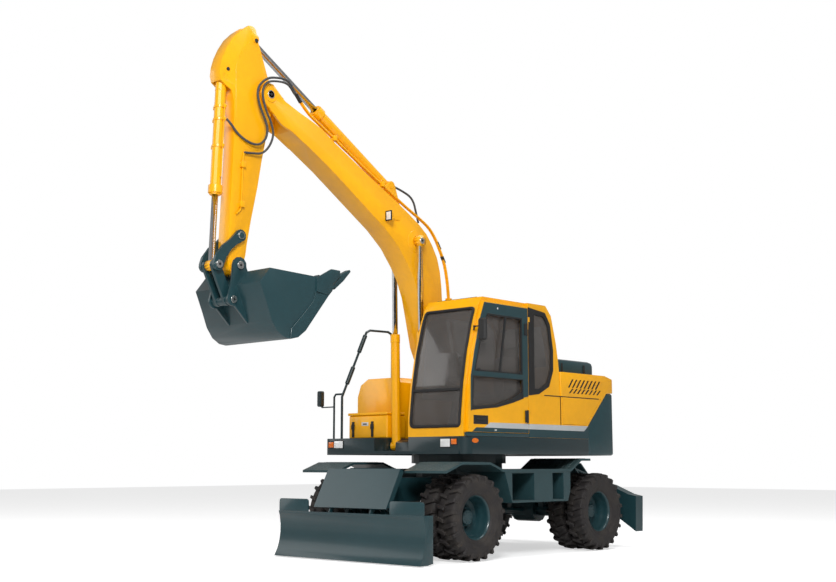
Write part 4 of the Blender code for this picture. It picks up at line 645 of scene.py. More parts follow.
bm = bmesh.new()
heights = [SCREEN_Z[0]] + [z for _, z in FRONT if SCREEN_Z[0] < z < SCREEN_Z[1]] + [SCREEN_Z[1]]
middle = sum(SCREEN_X) / 2
route = [(middle, heights[0])] + [(SCREEN_X[1], z) for z in heights] + [(SCREEN_X[0], z) for z in reversed(heights)]
route += [(middle, heights[0])]
pipe(bm, bent([(x, front_y(z) - 0.004, z) for x, z in route], 0.05, 3), 0.018, 8)
DIVIDER_Z = 2.045
box(bm, SCREEN_X, (front_y(DIVIDER_Z) - 0.014, front_y(DIVIDER_Z) + 0.02), (DIVIDER_Z - 0.016, DIVIDER_Z + 0.016), 0.004)
box(bm, (0.42, 1.07), (-0.90, -0.36), (3.188, 3.207), 0.006)
piece("windscreen_seal", bm, SEAL_AND_SHADE_BLACK, "upper", "black_plastic")
bm = bmesh.new()
ring_plate(bm, "x", (SKIN_X - 0.012, SKIN_X + 0.005),
           [(-0.07, 2.01), (0.14, 2.035), (0.365, 2.14), (0.458, 2.35), (0.463, 2.625), (0.402, 2.955), (0.295, 3.10),
            (-0.07, 3.14)],
           [(0.052, 2.10), (0.15, 2.10), (0.33, 2.19), (0.408, 2.37), (0.413, 2.61), (0.355, 2.92), (0.265, 3.045),
            (0.052, 3.055)], 0.0015)
piece("quarter_border", bm, SEAL_AND_SHADE_BLACK, "upper", "black_plastic")

# %% [markdown]
# The door carries a teal frame round its two panes, a bar between them, the sliding window's edge,
# two knobs, hinges and a sunk handle. They all ride on the door, so they swing with it.

# %% Door frame and fittings
bm = bmesh.new()
ring_plate(bm, "x", (DOOR_X, DOOR_X + 0.007),
           [(-1.222, 2.205), (-0.085, 2.205), (-0.085, 3.12), (-0.955, 3.12), (-1.045, 2.90), (-1.155, 2.50)],
           [(-1.158, 2.262), (-0.20, 2.262), (-0.20, 2.985), (-0.90, 2.985), (-0.985, 2.88), (-1.09, 2.50)], 0.002)
plate(bm, "x", (DOOR_X, DOOR_X + 0.007), [(-0.19, 1.975), (-0.085, 1.995), (-0.085, 2.206), (-0.19, 2.206)], 0.002)
plate(bm, "x", (DOOR_X, DOOR_X + 0.006), [(-1.225, 1.785), (-1.205, 1.785), (-1.19, 2.206), (-1.222, 2.206)], 0.002)
piece("door_frame", bm, TEAL, "cab_door", "teal_paint")
bm = bmesh.new()
ring_plate(bm, "x", (DOOR_X - 0.012, DOOR_X + 0.003),
           [(-1.207, 1.79), (-0.72, 1.835), (-0.40, 1.905), (-0.185, 1.965), (-0.185, 2.21), (-1.19, 2.21)],
           [(-1.184, 1.838), (-0.72, 1.868), (-0.40, 1.958), (-0.205, 2.045), (-0.205, 2.195), (-1.158, 2.195)])
ring_plate(bm, "x", (DOOR_X - 0.012, DOOR_X + 0.0035),
           [(-1.162, 2.258), (-0.197, 2.258), (-0.197, 2.989), (-0.904, 2.989), (-0.989, 2.88), (-1.094, 2.50)],
           [(-1.135, 2.280), (-0.218, 2.280), (-0.218, 2.965), (-0.890, 2.965), (-0.965, 2.875), (-1.068, 2.50)])
plate(bm, "x", (DOOR_X - 0.012, DOOR_X + 0.005), [(-0.541, 2.99), (-0.517, 2.99), (-0.649, 2.262), (-0.673, 2.262)])
for y, z in ((-1.08, 2.282), (-0.27, 2.29)):
    pin(bm, (DOOR_X + 0.006, DOOR_X + 0.022), (y, z), 0.017, 0.003)
for z in (1.74, 2.845):
    box(bm, (DOOR_X + 0.006, DOOR_X + 0.018), (-0.165, -0.118), (z - 0.075, z + 0.075), 0.003)
    rod(bm, (DOOR_X + 0.012, -0.112, z - 0.08), (DOOR_X + 0.012, -0.112, z + 0.08), 0.012)
ring_plate(bm, "x", (DOOR_X - 0.001, DOOR_X + 0.004), [(-1.172, 1.624), (-0.898, 1.624), (-0.898, 1.731), (-1.172, 1.731)],
           [(-1.158, 1.638), (-0.912, 1.638), (-0.912, 1.717), (-1.158, 1.717)], 0.0015)
box(bm, (DOOR_X - 0.002, DOOR_X + 0.001), (-1.158, -0.912), (1.638, 1.717))
box(bm, (DOOR_X + 0.001, DOOR_X + 0.012), (-1.13, -0.95), (1.672, 1.70), 0.004)
piece("door_fittings", bm, BLACK_PLASTIC_AND_SHADE, "cab_door", "black_plastic")
bm = bmesh.new()
pin(bm, (DOOR_X + 0.006, DOOR_X + 0.009), (-0.70, 3.062), 0.013)
piece("door_button", bm, WHITE, "cab_door", "dark_panels")

# %% [markdown]
# Through the tinted glass a seat, its consoles and a steering wheel show as shapes. The cushions are
# soft: each starts as a box cut into a grid, whose faces are then crowned so that they swell in the
# middle and pull in at the edges.

# %% Seat, consoles and steering wheel
def cushion(bm, x, y, z, swell):
    """A crowned pad between bounds: every face bulges in the middle, every corner is round."""
    low, high = (Vector(pick(span) for span in (x, y, z)) for pick in (min, max))
    centre, half = (low + high) / 2, (high - low) / 2
    before = set(bm.verts)
    verts = bmesh.ops.create_cube(bm, size=2.0)["verts"]
    edges = list({edge for vert in verts for edge in vert.link_edges})
    bmesh.ops.subdivide_edges(bm, edges=edges, cuts=7, use_grid_fill=True)
    for vert in set(bm.verts) - before:
        place = vert.co.copy()
        inset = [1.0 - 0.16 * max(0.0, abs(place[(axis + 1) % 3]) * abs(place[(axis + 2) % 3])) ** 3 for axis in range(3)]
        bulge = [swell * (1 - place[(axis + 1) % 3] ** 2) * (1 - place[(axis + 2) % 3] ** 2) for axis in range(3)]
        vert.co = Vector(centre[axis] + place[axis] * (half[axis] * inset[axis] + bulge[axis]) for axis in range(3))


seat_low, seat_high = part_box("operator_seat")
SEAT_X = (seat_low.x + seat_high.x) / 2
SEAT_BACK = seat_high.y - SWING_Y
SEAT_TOP = seat_high.z
bm = bmesh.new()
cushion(bm, (SEAT_X - 0.24, SEAT_X + 0.24), (SEAT_BACK - 0.56, SEAT_BACK - 0.09), (1.88, 2.00), 0.022)
seat_cushion = piece("seat_cushion", bm, CLOTH, "upper", "seat_fabric", crease=180)
bm = bmesh.new()
cushion(bm, (SEAT_X - 0.23, SEAT_X + 0.23), (SEAT_BACK - 0.13, SEAT_BACK - 0.01), (2.01, SEAT_TOP - 0.14), 0.022)
seat_back = piece("seat_back_cushion", bm, CLOTH, "upper", "seat_fabric", "operator_seat", crease=180)
bm = bmesh.new()
box(bm, (SEAT_X - 0.20, SEAT_X + 0.20), (SEAT_BACK - 0.52, SEAT_BACK - 0.10), (1.57, 1.80), 0.02)
box(bm, (SEAT_X - 0.22, SEAT_X + 0.22), (SEAT_BACK - 0.54, SEAT_BACK - 0.06), (1.80, 1.885), 0.01)
box(bm, (SEAT_X - 0.12, SEAT_X + 0.12), (SEAT_BACK - 0.11, SEAT_BACK - 0.03), (SEAT_TOP - 0.13, SEAT_TOP - 0.005), 0.03)
for side in (-1, 1):
    box(bm, (SEAT_X + side * 0.255, SEAT_X + side * 0.335), (SEAT_BACK - 0.62, SEAT_BACK - 0.12), (1.60, 2.08), 0.02)
    rod(bm, (SEAT_X + side * 0.295, SEAT_BACK - 0.57, 2.07), (SEAT_X + side * 0.295, SEAT_BACK - 0.60, 2.22), 0.012, 0.010)
    rod(bm, (SEAT_X + side * 0.295, SEAT_BACK - 0.60, 2.20), (SEAT_X + side * 0.295, SEAT_BACK - 0.615, 2.29), 0.022, 0.018)
COLUMN = Vector((SEAT_X, -0.88, 2.10))
rod(bm, (SEAT_X, -1.02, 1.56), COLUMN, 0.045, 0.035)
tube = [(0.185 + 0.014 * cos(turn), 0.014 * sin(turn)) for turn in (2 * pi * step / 8 for step in range(8))]
lean = Vector((0, 0.5, 1)).normalized()
turned(bm, tube, COLUMN + lean * 0.02, lean, 28, closed=True)
for turn in (0, 2 * pi / 3, 4 * pi / 3):
    spoke = Matrix.Rotation(turn, 4, lean) @ Vector((1, 0, 0))
    rod(bm, COLUMN + lean * 0.015, COLUMN + lean * 0.02 + spoke * 0.18, 0.011, None, 8)
piece("cab_controls", bm, BLACK_PLASTIC_AND_SHADE, "upper", "black_plastic")
print("seat, consoles and steering wheel in the cab")

# %% [markdown]
# ## Bodywork
# A silver stripe with slanted ends runs low along the side, with teal beneath it down to the deck. It
# crosses the door, so the door carries its own length of it. The louvres behind are two rows of short
# slanting slots, drawn as thin black plates: painted shade where the openings would be.

# %% Stripe and teal band
bm, below = bmesh.new(), bmesh.new()
plate(bm, "x", (DOOR_X - 0.003, DOOR_X + 0.0012), [(-0.971, 1.585), (-0.084, 1.583), (-0.084, 1.649), (-0.855, 1.648)])
piece("stripe_door", bm, SILVER, "cab_door", "yellow_paint")
plate(below, "x", (DOOR_X - 0.003, DOOR_X + 0.0009), [(-1.20, 1.532), (-0.084, 1.532), (-0.084, 1.583), (-0.971, 1.585), (-1.12, 1.585)])
piece("teal_band_door", below, TEAL, "cab_door", "teal_paint")
bm, below = bmesh.new(), bmesh.new()
plate(bm, "x", (1.228, DOOR_X + 0.0022), [(-0.076, 1.583), (1.136, 1.58), (1.232, 1.65), (-0.076, 1.649)])
piece("stripe_body", bm, SILVER, "upper", "yellow_paint")
plate(below, "x", (1.228, DOOR_X + 0.0014), [(-0.076, 1.48), (1.2345, 1.48), (1.2345, 1.649), (1.136, 1.58), (-0.076, 1.583)])
box(below, (1.18, DOOR_X + 0.0008), (-1.29, -0.08), (1.481, 1.524), 0.002)
piece("teal_band_body", below, TEAL, "upper", "teal_paint")

# %% Louvres in painted shade, seams and latches
LOUVRES = [(0.785, 0.090, 0.097, 2.151, 2.264), (0.803, 0.092, 0.075, 2.076, 2.140)]
SLOT_WIDTH = 0.034
bm = bmesh.new()
# Each slot is a thin black plate on the skin: painted shade where the opening would be.
for start, pitch, slant, low, high in LOUVRES:
    for index in range(8):
        y = start + index * pitch
        plate(bm, "x", (DOOR_X - 0.004, DOOR_X + 0.0016),
              [(y, low), (y + SLOT_WIDTH, low), (y + slant + SLOT_WIDTH, high), (y + slant, high)])
box(bm, (DOOR_X - 0.004, DOOR_X + 0.0013), (0.26, 1.50), (2.018, 2.030))
box(bm, (DOOR_X - 0.004, DOOR_X + 0.0013), (0.611, 0.619), (1.655, 2.018))
piece("louvres", bm, SEAL_AND_SHADE_BLACK, "upper", "dark_panels")
TOOL_BOX_FRONT = -1.0605
bm = bmesh.new()
for x in (-0.928, -0.573):
    box(bm, (x - 0.02, x + 0.02), (TOOL_BOX_FRONT - 0.012, TOOL_BOX_FRONT + 0.002), (1.50, 1.70), 0.004)
    box(bm, (x - 0.026, x + 0.026), (TOOL_BOX_FRONT - 0.020, TOOL_BOX_FRONT + 0.002), (1.60, 1.665), 0.006)
box(bm, (-0.745, -0.675), (TOOL_BOX_FRONT - 0.0065, TOOL_BOX_FRONT), (1.660, 1.675))
piece("tool_box_latches", bm, BLACK_PLASTIC_AND_SHADE, "upper", "black_plastic")
bm = bmesh.new()
box(bm, (-0.772, -0.647), (TOOL_BOX_FRONT - 0.004, TOOL_BOX_FRONT + 0.001), (1.644, 1.691), 0.001)
piece("tool_box_plate", bm, WHITE, "upper", "yellow_paint")
hood_low, hood_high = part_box("engine_hood")
bm = bmesh.new()
for side, x in ((-1, hood_low.x), (1, hood_high.x)):
    for y in (0.98, 1.50):
        box(bm, (x - side * 0.003, x + side * 0.012), (y - 0.016, y + 0.016), (2.385, 2.50), 0.004)
piece("hood_latches", bm, BLACK_PLASTIC_AND_SHADE, "engine_hood", "black_plastic")

# %% [markdown]
# Lamps sit in the front of the deck: a white headlamp and an orange indicator on each side, each in a
# thin black surround. An oval orange marker is let into the side of the deck.

# %% Lamps
DECK_FRONT = -1.3105
LAMPS = [("headlamps", LAMP_GLASS, [(0.835, 0.985, 1.352, 1.449), (-1.024, -0.863, 1.353, 1.445)]),
         ("indicators", ORANGE, [(1.006, 1.090, 1.382, 1.447), (-1.131, -1.038, 1.361, 1.432)])]
surround = bmesh.new()
for name, finish, spots in LAMPS:
    bm = bmesh.new()
    for x0, x1, z0, z1 in spots:
        box(bm, (x0, x1), (DECK_FRONT - 0.012, DECK_FRONT), (z0, z1), 0.006)
        box(surround, (x0 - 0.009, x1 + 0.009), (DECK_FRONT - 0.005, DECK_FRONT + 0.001), (z0 - 0.009, z1 + 0.009), 0.002)
    piece(name, bm, finish, "upper", "tinted_glass")
piece("lamp_surrounds", surround, SEAL_AND_SHADE_BLACK, "upper", "black_plastic")
oval = [(-1.145 + 0.06 * cos(turn), 1.427 + 0.028 * sin(turn)) for turn in (2 * pi * step / 20 for step in range(20))]
bm = bmesh.new()
plate(bm, "x", (1.2375, 1.2415), oval, 0.001)
piece("side_marker", bm, ORANGE, "upper", "tinted_glass")
bm = bmesh.new()
box(bm, (DOOR_X, DOOR_X + 0.003), (-0.772, -0.732), (1.551, 1.566), 0.001)
piece("door_reflector", bm, WHITE, "cab_door", "dark_panels")
print("stripe, louvres, latches and lamps in place")

# %% [markdown]
# ## Boom, arm and bucket
# Cylinders are told apart by their heads: the gland that closes the barrel is a thicker collar held by a
# ring of bolts. Where each barrel ends is measured on the frame, along the line from its base pin to its
# rod pin. The rod's eye is cast and painted, while the rod itself is chromed.

# %% Cylinder heads and painted eyes
PINS = {"boom": ((-0.97, 1.38), (-1.02, 4.00)), "arm": ((-1.42, 4.68), (-3.70, 6.03)),
        "bucket": ((-4.105, 5.47), (-4.181, 3.313))}
CYLINDERS = [("boom_cylinder_barrel_left", "boom_cylinder_rod_left", "boom_barrels", "boom_rods", "boom", 0.228, 0.060, 0.0625),
             ("boom_cylinder_barrel_right", "boom_cylinder_rod_right", "boom_barrels", "boom_rods", "boom", -0.228, 0.060, 0.0625),
             ("arm_cylinder_barrel", "arm_cylinder_rod", "arm_barrel", "arm_rod", "arm", 0.0, 0.068, 0.082),
             ("bucket_cylinder_barrel", "bucket_cylinder_rod", "bucket_barrel", "bucket_rod", "bucket", 0.0, 0.062, 0.080)]


def barrel_line(kind, x):
    """The base pin and the unit direction of a cylinder."""
    (y0, z0), (y1, z1) = PINS[kind]
    base = Vector((x, y0, z0))
    return base, (Vector((x, y1, z1)) - base).normalized()


def collar(bm, base, way, low, high, inner, outer):
    """A ring round a barrel between two distances along its line; the bore stays open for the rod."""
    ring = [(inner, low), (outer - 0.003, low), (outer, low + 0.003), (outer, high - 0.003), (outer - 0.003, high),
            (inner, high)]
    turned(bm, ring, base, way, 28, closed=True)


def barrel_end(node_name, base, way):
    """How far the barrel reaches along its line."""
    shift = Vector((0, SWING_Y, 0))
    return max((vert.co - shift - base).dot(way) for vert in frame["nodes"][node_name].data.vertices)


for barrel, rod_name, barrel_body, rod_body, kind, x, radius, head in CYLINDERS:
    base, way = barrel_line(kind, x)
    length = barrel_end(barrel, base, way)
    bm = bmesh.new()
    collar(bm, base, way, length - 0.11, length - 0.02, radius - 0.002, head)
    collar(bm, base, way, 0.140, 0.152, radius - 0.002, radius + 0.003)
    side = way.orthogonal().normalized()
    for index in range(8 if head > radius + 0.01 else 0):
        spoke = Matrix.Rotation(2 * pi * (index + 0.5) / 8, 4, way) @ side * (head - 0.013)
        start = base + way * (length - 0.022) + spoke
        rod(bm, start, start + way * 0.012, 0.009, None, 6)
    piece(barrel + "_head", bm, YELLOW, barrel_body, "cylinder_paint")
    end = Vector((x, *PINS[kind][1])) + Vector((0, SWING_Y, 0))
    bm = bmesh.new()
    bm.from_mesh(frame["nodes"][rod_name].data)
    bmesh.ops.remove_doubles(bm, verts=bm.verts, dist=1e-5)
    for face in bm.faces:
        face.material_index = int((face.calc_center_median() - end).length < 0.125)
    bmesh.ops.translate(bm, verts=bm.verts, vec=(0.0, -SWING_Y, 0.0))
    made = piece(rod_name + "_painted", bm, CHROME, rod_body, "chromed_rod", rod_name)
    made.data.materials.append(YELLOW)
print("cylinder heads bolted on:", len(CYLINDERS))

# %% [markdown]
# Steel pipes carry the oil along the boom's back in two pairs, held by clamps. Where the boom meets the
# arm they end in fittings, and rubber hoses take over with a slack loop so that the arm can fold. Each
# hose is one mesh laid across the joint, and it hangs on no body.

# %% Boom pipes and clamps
PIPE_ROUTE = [(-0.03, 2.02), (-0.30, 3.00), (-0.345, 3.30), (-0.37, 3.55), (-0.43, 3.80), (-0.60, 4.09), (-0.74, 4.235),
              (-0.95, 4.335), (-1.16, 4.425), (-1.37, 4.525), (-1.88, 4.775), (-2.47, 5.08), (-2.87, 5.285),
              (-2.978, 5.372), (-3.10, 5.50)]
bm = bmesh.new()
for x in (-0.143, -0.118, 0.118, 0.143):
    pipe(bm, bent([(x, y, z) for y, z in PIPE_ROUTE], 0.12, 3), 0.0115, 8)
for y, z in ((-1.63, 4.66), (-2.47, 5.085), (-0.345, 3.30)):
    for side in (-1, 1):
        spot = Vector((side * 0.1305, y, z))
        box(bm, (spot.x - 0.035, spot.x + 0.035), (y - 0.03, y + 0.03), (z - 0.035, z + 0.03), 0.005)
piece("boom_pipes", bm, YELLOW, "boom", "yellow_paint")
bm = bmesh.new()
for x in (-0.143, -0.118, 0.118, 0.143):
    for (y0, z0), (y1, z1) in (((-0.43, 3.80), (-0.48, 3.88)), ((-0.52, 3.97), (-0.58, 4.06)), ((-3.02, 5.41), (-3.10, 5.50))):
        rod(bm, (x, y0, z0), (x, y1, z1), 0.0145, None, 6)
piece("pipe_couplings", bm, BLACK_PLASTIC_AND_SHADE, "boom", "cast_parts")

# %% Hoses across the arm's joint
HOSES = [("arm_hose_outer", 0.014, [(0.13, -3.10, 5.50), (0.15, -3.25, 5.62), (0.16, -3.475, 5.60), (0.165, -3.60, 5.54),
                                    (0.165, -3.69, 5.44), (0.165, -3.704, 5.329), (0.165, -3.661, 5.197),
                                    (0.165, -3.593, 5.071), (0.16, -3.550, 4.966), (0.15, -3.571, 4.844),
                                    (0.14, -3.665, 4.764), (0.125, -3.793, 4.77), (0.115, -3.936, 4.835),
                                    (0.105, -4.04, 4.936), (0.085, -4.085, 4.985)]),
         ("arm_hose_inner", 0.013, [(0.118, -3.10, 5.49), (0.17, -3.27, 5.57), (0.19, -3.482, 5.549), (0.192, -3.596, 5.50),
                                    (0.192, -3.648, 5.42), (0.192, -3.652, 5.325), (0.192, -3.604, 5.182),
                                    (0.185, -3.519, 5.046), (0.175, -3.475, 4.914), (0.16, -3.513, 4.777),
                                    (0.145, -3.607, 4.675), (0.125, -3.735, 4.65), (0.112, -3.85, 4.64)])]
for name, radius, points in HOSES:
    path = flowing(points, 5)
    bm = bmesh.new()
    pipe(bm, path, radius, 10)
    made = piece(name, bm, HOSE, None, "black_plastic")
    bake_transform(made)
bm = bmesh.new()
for side in (-1, 1):
    pipe(bm, bent([(side * 0.112, -3.84, 4.66), (side * 0.105, -3.85, 4.60), (side * 0.105, -3.862, 3.98), (side * 0.105, -3.93, 3.92)],
                  0.05, 3), 0.010, 8)
    for z in (4.50, 4.04):
        box(bm, (side * 0.088, side * 0.125), (-3.885, -3.82), (z - 0.035, z + 0.035), 0.004)
piece("arm_pipes", bm, YELLOW, "arm", "yellow_paint")

# %% Hose over the boom's knee, pipes on the bucket cylinder, plugs
bm = bmesh.new()
pipe(bm, flowing([(0, -1.418, 4.73), (0, -1.279, 4.714), (0, -1.016, 4.652), (0, -0.905, 4.578), (0, -0.849, 4.448),
                  (0, -0.80, 4.300)], 5), 0.014, 10)
piece("boom_knee_hose", bm, HOSE, "boom", "black_plastic")
base, way = barrel_line("bucket", 0.0)
bm = bmesh.new()
for side in (-1, 1):
    pipe(bm, bent([base + way * 0.33 + Vector((side * 0.066, 0, 0)), base + way * 0.33 + Vector((side * 0.088, 0, 0)),
                   base + way * 1.16 + Vector((side * 0.088, 0, 0)), base + way * 1.16 + Vector((side * 0.068, 0, 0))], 0.03, 3),
         0.009, 8)
for along in (0.34, 0.49, 0.80):
    collar(bm, base, way, along - 0.014, along + 0.014, 0.060, 0.069)
    for side in (-1, 1):
        spot = base + way * along
        box(bm, (side * 0.066, side * 0.104), (spot.y - 0.018, spot.y + 0.018), (spot.z - 0.018, spot.z + 0.018), 0.004)
piece("bucket_cylinder_pipes", bm, YELLOW, "bucket_barrel", "cylinder_paint")
bm = bmesh.new()
for side in (-1, 1):
    pin(bm, (side * 0.088, side * 0.112), (-3.69, 6.005), 0.024, 0.004)
    pin(bm, (side * 0.088, side * 0.106), (-4.087, 5.568), 0.020, 0.003)
piece("arm_plugs", bm, BLACK_PLASTIC_AND_SHADE, "arm", "black_plastic")

# %% [markdown]
# Castings and pins: discs stand proud where a pin passes through, with a bright pin end in the middle
# and a flat dark disc at its centre, painted shade for the grease hole. A plate is welded on each side of the arm's
# head.

# %% Bosses, pin ends and plates
ARM_PLATE = [(-3.975, 5.62), (-3.936, 5.74), (-3.885, 5.84), (-3.80, 5.945), (-3.74, 5.965), (-3.68, 5.94), (-3.635, 5.87),
             (-3.60, 5.72), (-3.55, 5.60), (-3.50, 5.45), (-3.50, 5.25), (-3.56, 4.85), (-3.60, 4.72), (-3.70, 4.70),
             (-3.90, 4.78), (-3.955, 4.85)]
WEAR_PLATE = [(-3.15, 3.06), (-3.187, 2.956), (-3.504, 2.626), (-3.515, 2.516), (-3.40, 2.538), (-3.29, 2.62),
              (-3.11, 2.845), (-2.93, 3.07)]
ENDS = [("boom", (-3.505, 5.39), 0.156, 0.050, 0.014), ("boom", (-1.02, 4.00), 0.266, 0.042, 0.010),
        ("rocker", (-3.878, 3.675), 0.1372, 0.043, 0.012), ("rocker", (-4.181, 3.313), 0.1372, 0.043, 0.022),
        ("bucket", (-3.918, 3.328), 0.189, 0.044, 0.006), ("bucket", (-4.00, 2.938), 0.189, 0.040, 0.006)]
for body in ("boom", "rocker", "bucket"):
    ends, pin_centre_shade = bmesh.new(), bmesh.new()
    for owner, point, x, radius, stand in ENDS:
        if owner != body:
            continue
        for side in (-1, 1):
            pin(ends, (side * (x - 0.004), side * (x + stand)), point, radius, 0.002)
            # A flat dark disc on each pin end: painted shade standing in for the grease hole.
            pin(pin_centre_shade, (side * (x + stand - 0.001), side * (x + stand + 0.0012)), point, radius * 0.36)
    piece(f"pin_ends_{body}", ends, STEEL, body, "cast_parts")
    piece(f"grease_hole_shade_{body}", pin_centre_shade, SEAL_AND_SHADE_BLACK, body, "black_plastic")
bm = bmesh.new()
for side in (-1, 1):
    turned(bm, [(0.0, 0.022), (0.085, 0.022), (0.10, 0.014), (0.145, 0.006), (0.15, -0.002), (0.0, -0.002)],
           (side * 0.155, -1.02, 4.00), (side, 0, 0), 36)
    turned(bm, [(0.0, 0.010), (0.088, 0.010), (0.096, -0.002), (0.0, -0.002)], (side * 0.155, -3.505, 5.39), (side, 0, 0), 36)
piece("boom_bosses", bm, YELLOW, "boom", "yellow_paint")
bm = bmesh.new()
for side in (-1, 1):
    plate(bm, "x", (side * 0.0895, side * 0.096), ARM_PLATE, 0.002)
piece("arm_side_plates", bm, YELLOW, "arm", "yellow_paint")
bm = bmesh.new()
for side in (-1, 1):
    plate(bm, "x", (side * 0.569, side * 0.5805), WEAR_PLATE, 0.003)
piece("bucket_wear_plates", bm, TEAL, "bucket", "teal_paint")

# %% Work light on the boom
bm = bmesh.new()
box(bm, (0.163, 0.264), (-1.578, -1.535), (4.188, 4.312), 0.010)
plate(bm, "x", (0.156, 0.164), [(-1.56, 4.22), (-1.32, 4.235), (-1.30, 4.29), (-1.56, 4.28)], 0.002)
piece("work_light", bm, YELLOW, "boom", "yellow_paint")
bm = bmesh.new()
ring_plate(bm, "y", (-1.594, -1.574), [(0.160, 4.185), (0.267, 4.185), (0.267, 4.315), (0.160, 4.315)],
           [(0.174, 4.199), (0.253, 4.199), (0.253, 4.301), (0.174, 4.301)], 0.004)
piece("work_light_frame", bm, SEAL_AND_SHADE_BLACK, "boom", "black_plastic")
bm = bmesh.new()
box(bm, (0.172, 0.255), (-1.588, -1.577), (4.197, 4.303), 0.003)
piece("work_light_lens", bm, LAMP_GLASS, "boom", "tinted_glass")
print("boom, arm and bucket finished")

# %% [markdown]
# ## Plates and soft edges
# The mudguards are checker plate: steel rolled with raised lozenges so that boots grip. One lozenge is
# drawn, a row of them is stamped across the plate with every second one turned, and the rows follow the
# plate over its bends.

# %% Checker plate
FENDER_TOP = [(-1.67, 1.07), (-1.39, 1.17), (-0.86, 1.17), (-0.60, 1.08), (0.82, 1.08), (1.06, 1.22), (1.27, 1.22)]
PITCH = 0.044
bm = bmesh.new()
bmesh.ops.create_cone(bm, cap_ends=True, segments=4, radius1=0.019, radius2=0.011, depth=0.0040,
                      matrix=Matrix.Diagonal((0.34, 1.0, 1.0, 1.0)))
lozenge = small_mesh("lozenge", bm)
rows = {}
for low_x in (0.60, 0.43):
    bm = bmesh.new()
    for index in range(int((1.215 - low_x) / PITCH)):
        turn = Matrix.Rotation(radians(45 if index % 2 else -45), 4, "Z")
        stamp(bm, lozenge, [Matrix.Translation((low_x + PITCH * (index + 0.5), 0, 0.0012)) @ turn])
    rows[low_x] = small_mesh("lozenge row", bm)
for side_name, side in SIDES.items():
    bm = bmesh.new()
    for number, ((y0, z0), (y1, z1)) in enumerate(zip(FENDER_TOP, FENDER_TOP[1:])):
        length = hypot(y1 - y0, z1 - z0)
        lean = Matrix.Rotation(atan2(z1 - z0, y1 - y0), 4, "X")
        for index in range(int(length / PITCH)):
            share = (index + 0.5) / int(length / PITCH)
            place = Matrix.Translation((0, y0 + (y1 - y0) * share, z0 + (z1 - z0) * share)) @ lean
            stamp(bm, rows[0.60 if number < 3 else 0.43], [Matrix.Diagonal((side, 1, 1, 1)) @ place])
    piece("checker_plate_" + side_name, bm, WORN_TEAL, "chassis", "teal_paint")
print("checker plate on both sides")

# %% [markdown]
# Steel plate never has a razor edge: presses and welders leave a small radius, which is what catches
# the light. The large solids are copied and their edges rounded, and each copy stands for its original.

# %% Rounded edges
ROUNDED = [("upper_frame", 0.022, DARK, "teal_paint", "upper"), ("counterweight", 0.030, TEAL, "teal_paint", "upper"),
           ("rear_body", 0.022, YELLOW, "yellow_paint", "upper"), ("right_tanks", 0.025, YELLOW, "yellow_paint", "upper"),
           ("tool_box", 0.010, YELLOW, "yellow_paint", "upper"), ("boom", 0.007, YELLOW, "yellow_paint", "boom"),
           ("arm", 0.006, YELLOW, "yellow_paint", "arm"), ("dozer_blade", 0.006, TEAL, "teal_paint", "blade"),
           ("engine_hood", 0.030, TEAL, "teal_paint", "engine_hood"), ("bucket", 0.004, TEAL, "teal_paint", "bucket")]
for node_name, radius, finish, slot_name, body in ROUNDED:
    made = softened(node_name, radius, finish, slot_name, body)
    print(node_name, "rounded by", radius, "m:", len(made.data.polygons), "faces")

# %% [markdown]
# ## The studio
# A pale floor, three large soft lamps and a bright world give an even light with soft shadows. The
# floor looks white to the camera, but it lights the machine no more than paper would.

# %% Floor, lamps and world
FLOOR_LIFT = 0.56


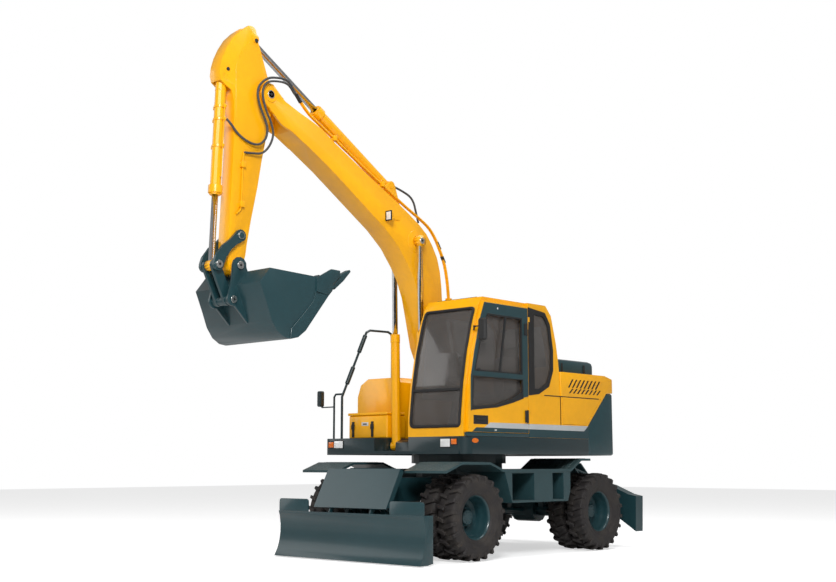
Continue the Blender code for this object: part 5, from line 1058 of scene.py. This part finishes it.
def studio_floor():
    bm = bmesh.new()
    bmesh.ops.create_grid(bm, x_segments=1, y_segments=1, size=40.0)
    mesh = bpy.data.meshes.new("studio_floor")
    bm.to_mesh(mesh)
    bm.free()
    floor = bpy.data.objects.new("studio_floor", mesh)
    bpy.context.scene.collection.objects.link(floor)
    floor.location.z = -0.002
    material, tree, shader, place = new_material("studio floor")
    shader.inputs["Roughness"].default_value = 0.9
    seen = tree.nodes.new("ShaderNodeLightPath").outputs["Is Camera Ray"]
    tree.links.new(maths(tree, "MULTIPLY", seen, FLOOR_LIFT), shader.inputs["Emission Strength"])
    shader.inputs["Emission Color"].default_value = (1, 1, 1, 1)
    tree.links.new(mix(tree, noise(tree, place, 0.4), (0.80, 0.80, 0.80, 1), (0.84, 0.84, 0.84, 1)),
                   shader.inputs["Base Color"])
    mesh.materials.append(material)


def lamp(name, place, target, size, power):
    light = bpy.data.lights.new(name, "AREA")
    light.shape = "DISK"
    light.size = size
    light.energy = power
    holder = bpy.data.objects.new(name, light)
    bpy.context.scene.collection.objects.link(holder)
    holder.location = place
    holder.rotation_euler = (Vector(target) - Vector(place)).to_track_quat("-Z", "Y").to_euler()


MIDDLE = (0.0, 0.0, 2.0)
studio_floor()
lamp("key", (10.0, -11.0, 10.0), MIDDLE, 5.0, 1900.0)
lamp("fill", (-12.0, -8.0, 7.0), MIDDLE, 8.0, 260.0)
lamp("top", (2.0, 3.0, 13.0), MIDDLE, 8.0, 650.0)
world = bpy.data.worlds.new("studio")
bpy.context.scene.world = world
world.use_nodes = True
back = world.node_tree.nodes["Background"]
rays = world.node_tree.nodes.new("ShaderNodeLightPath")
level = world.node_tree.nodes.new("ShaderNodeMapRange")
level.inputs["To Min"].default_value = 0.30
level.inputs["To Max"].default_value = 1.0
world.node_tree.links.new(rays.outputs["Is Camera Ray"], level.inputs["Value"])
world.node_tree.links.new(level.outputs["Result"], back.inputs["Strength"])
back.inputs["Color"].default_value = (1, 1, 1, 1)
print("studio lit")

# %% [markdown]
# The camera stands low, in front of the machine and to its left, and looks slightly up, so the boom
# rises over the cab. The lens length is worked out from how wide the machine has to sit in the frame.

# %% Camera
AZIMUTH = radians(42.475)
TILT = radians(8.34)
LENS = 50.72

eye = bpy.data.cameras.new("studio camera")
eye.sensor_width = 36.0
eye.lens = LENS
eye.clip_end = 200.0
camera = bpy.data.objects.new("studio camera", eye)
bpy.context.scene.collection.objects.link(camera)
camera.location = at(10.323, -12.081, 1.152)
forward = Vector((-sin(AZIMUTH) * cos(TILT), cos(AZIMUTH) * cos(TILT), sin(TILT)))
camera.rotation_euler = forward.to_track_quat("-Z", "Y").to_euler()
bpy.context.scene.camera = camera
bpy.context.scene.view_settings.view_transform = "Standard"
print("camera at", [round(part, 3) for part in camera.location])
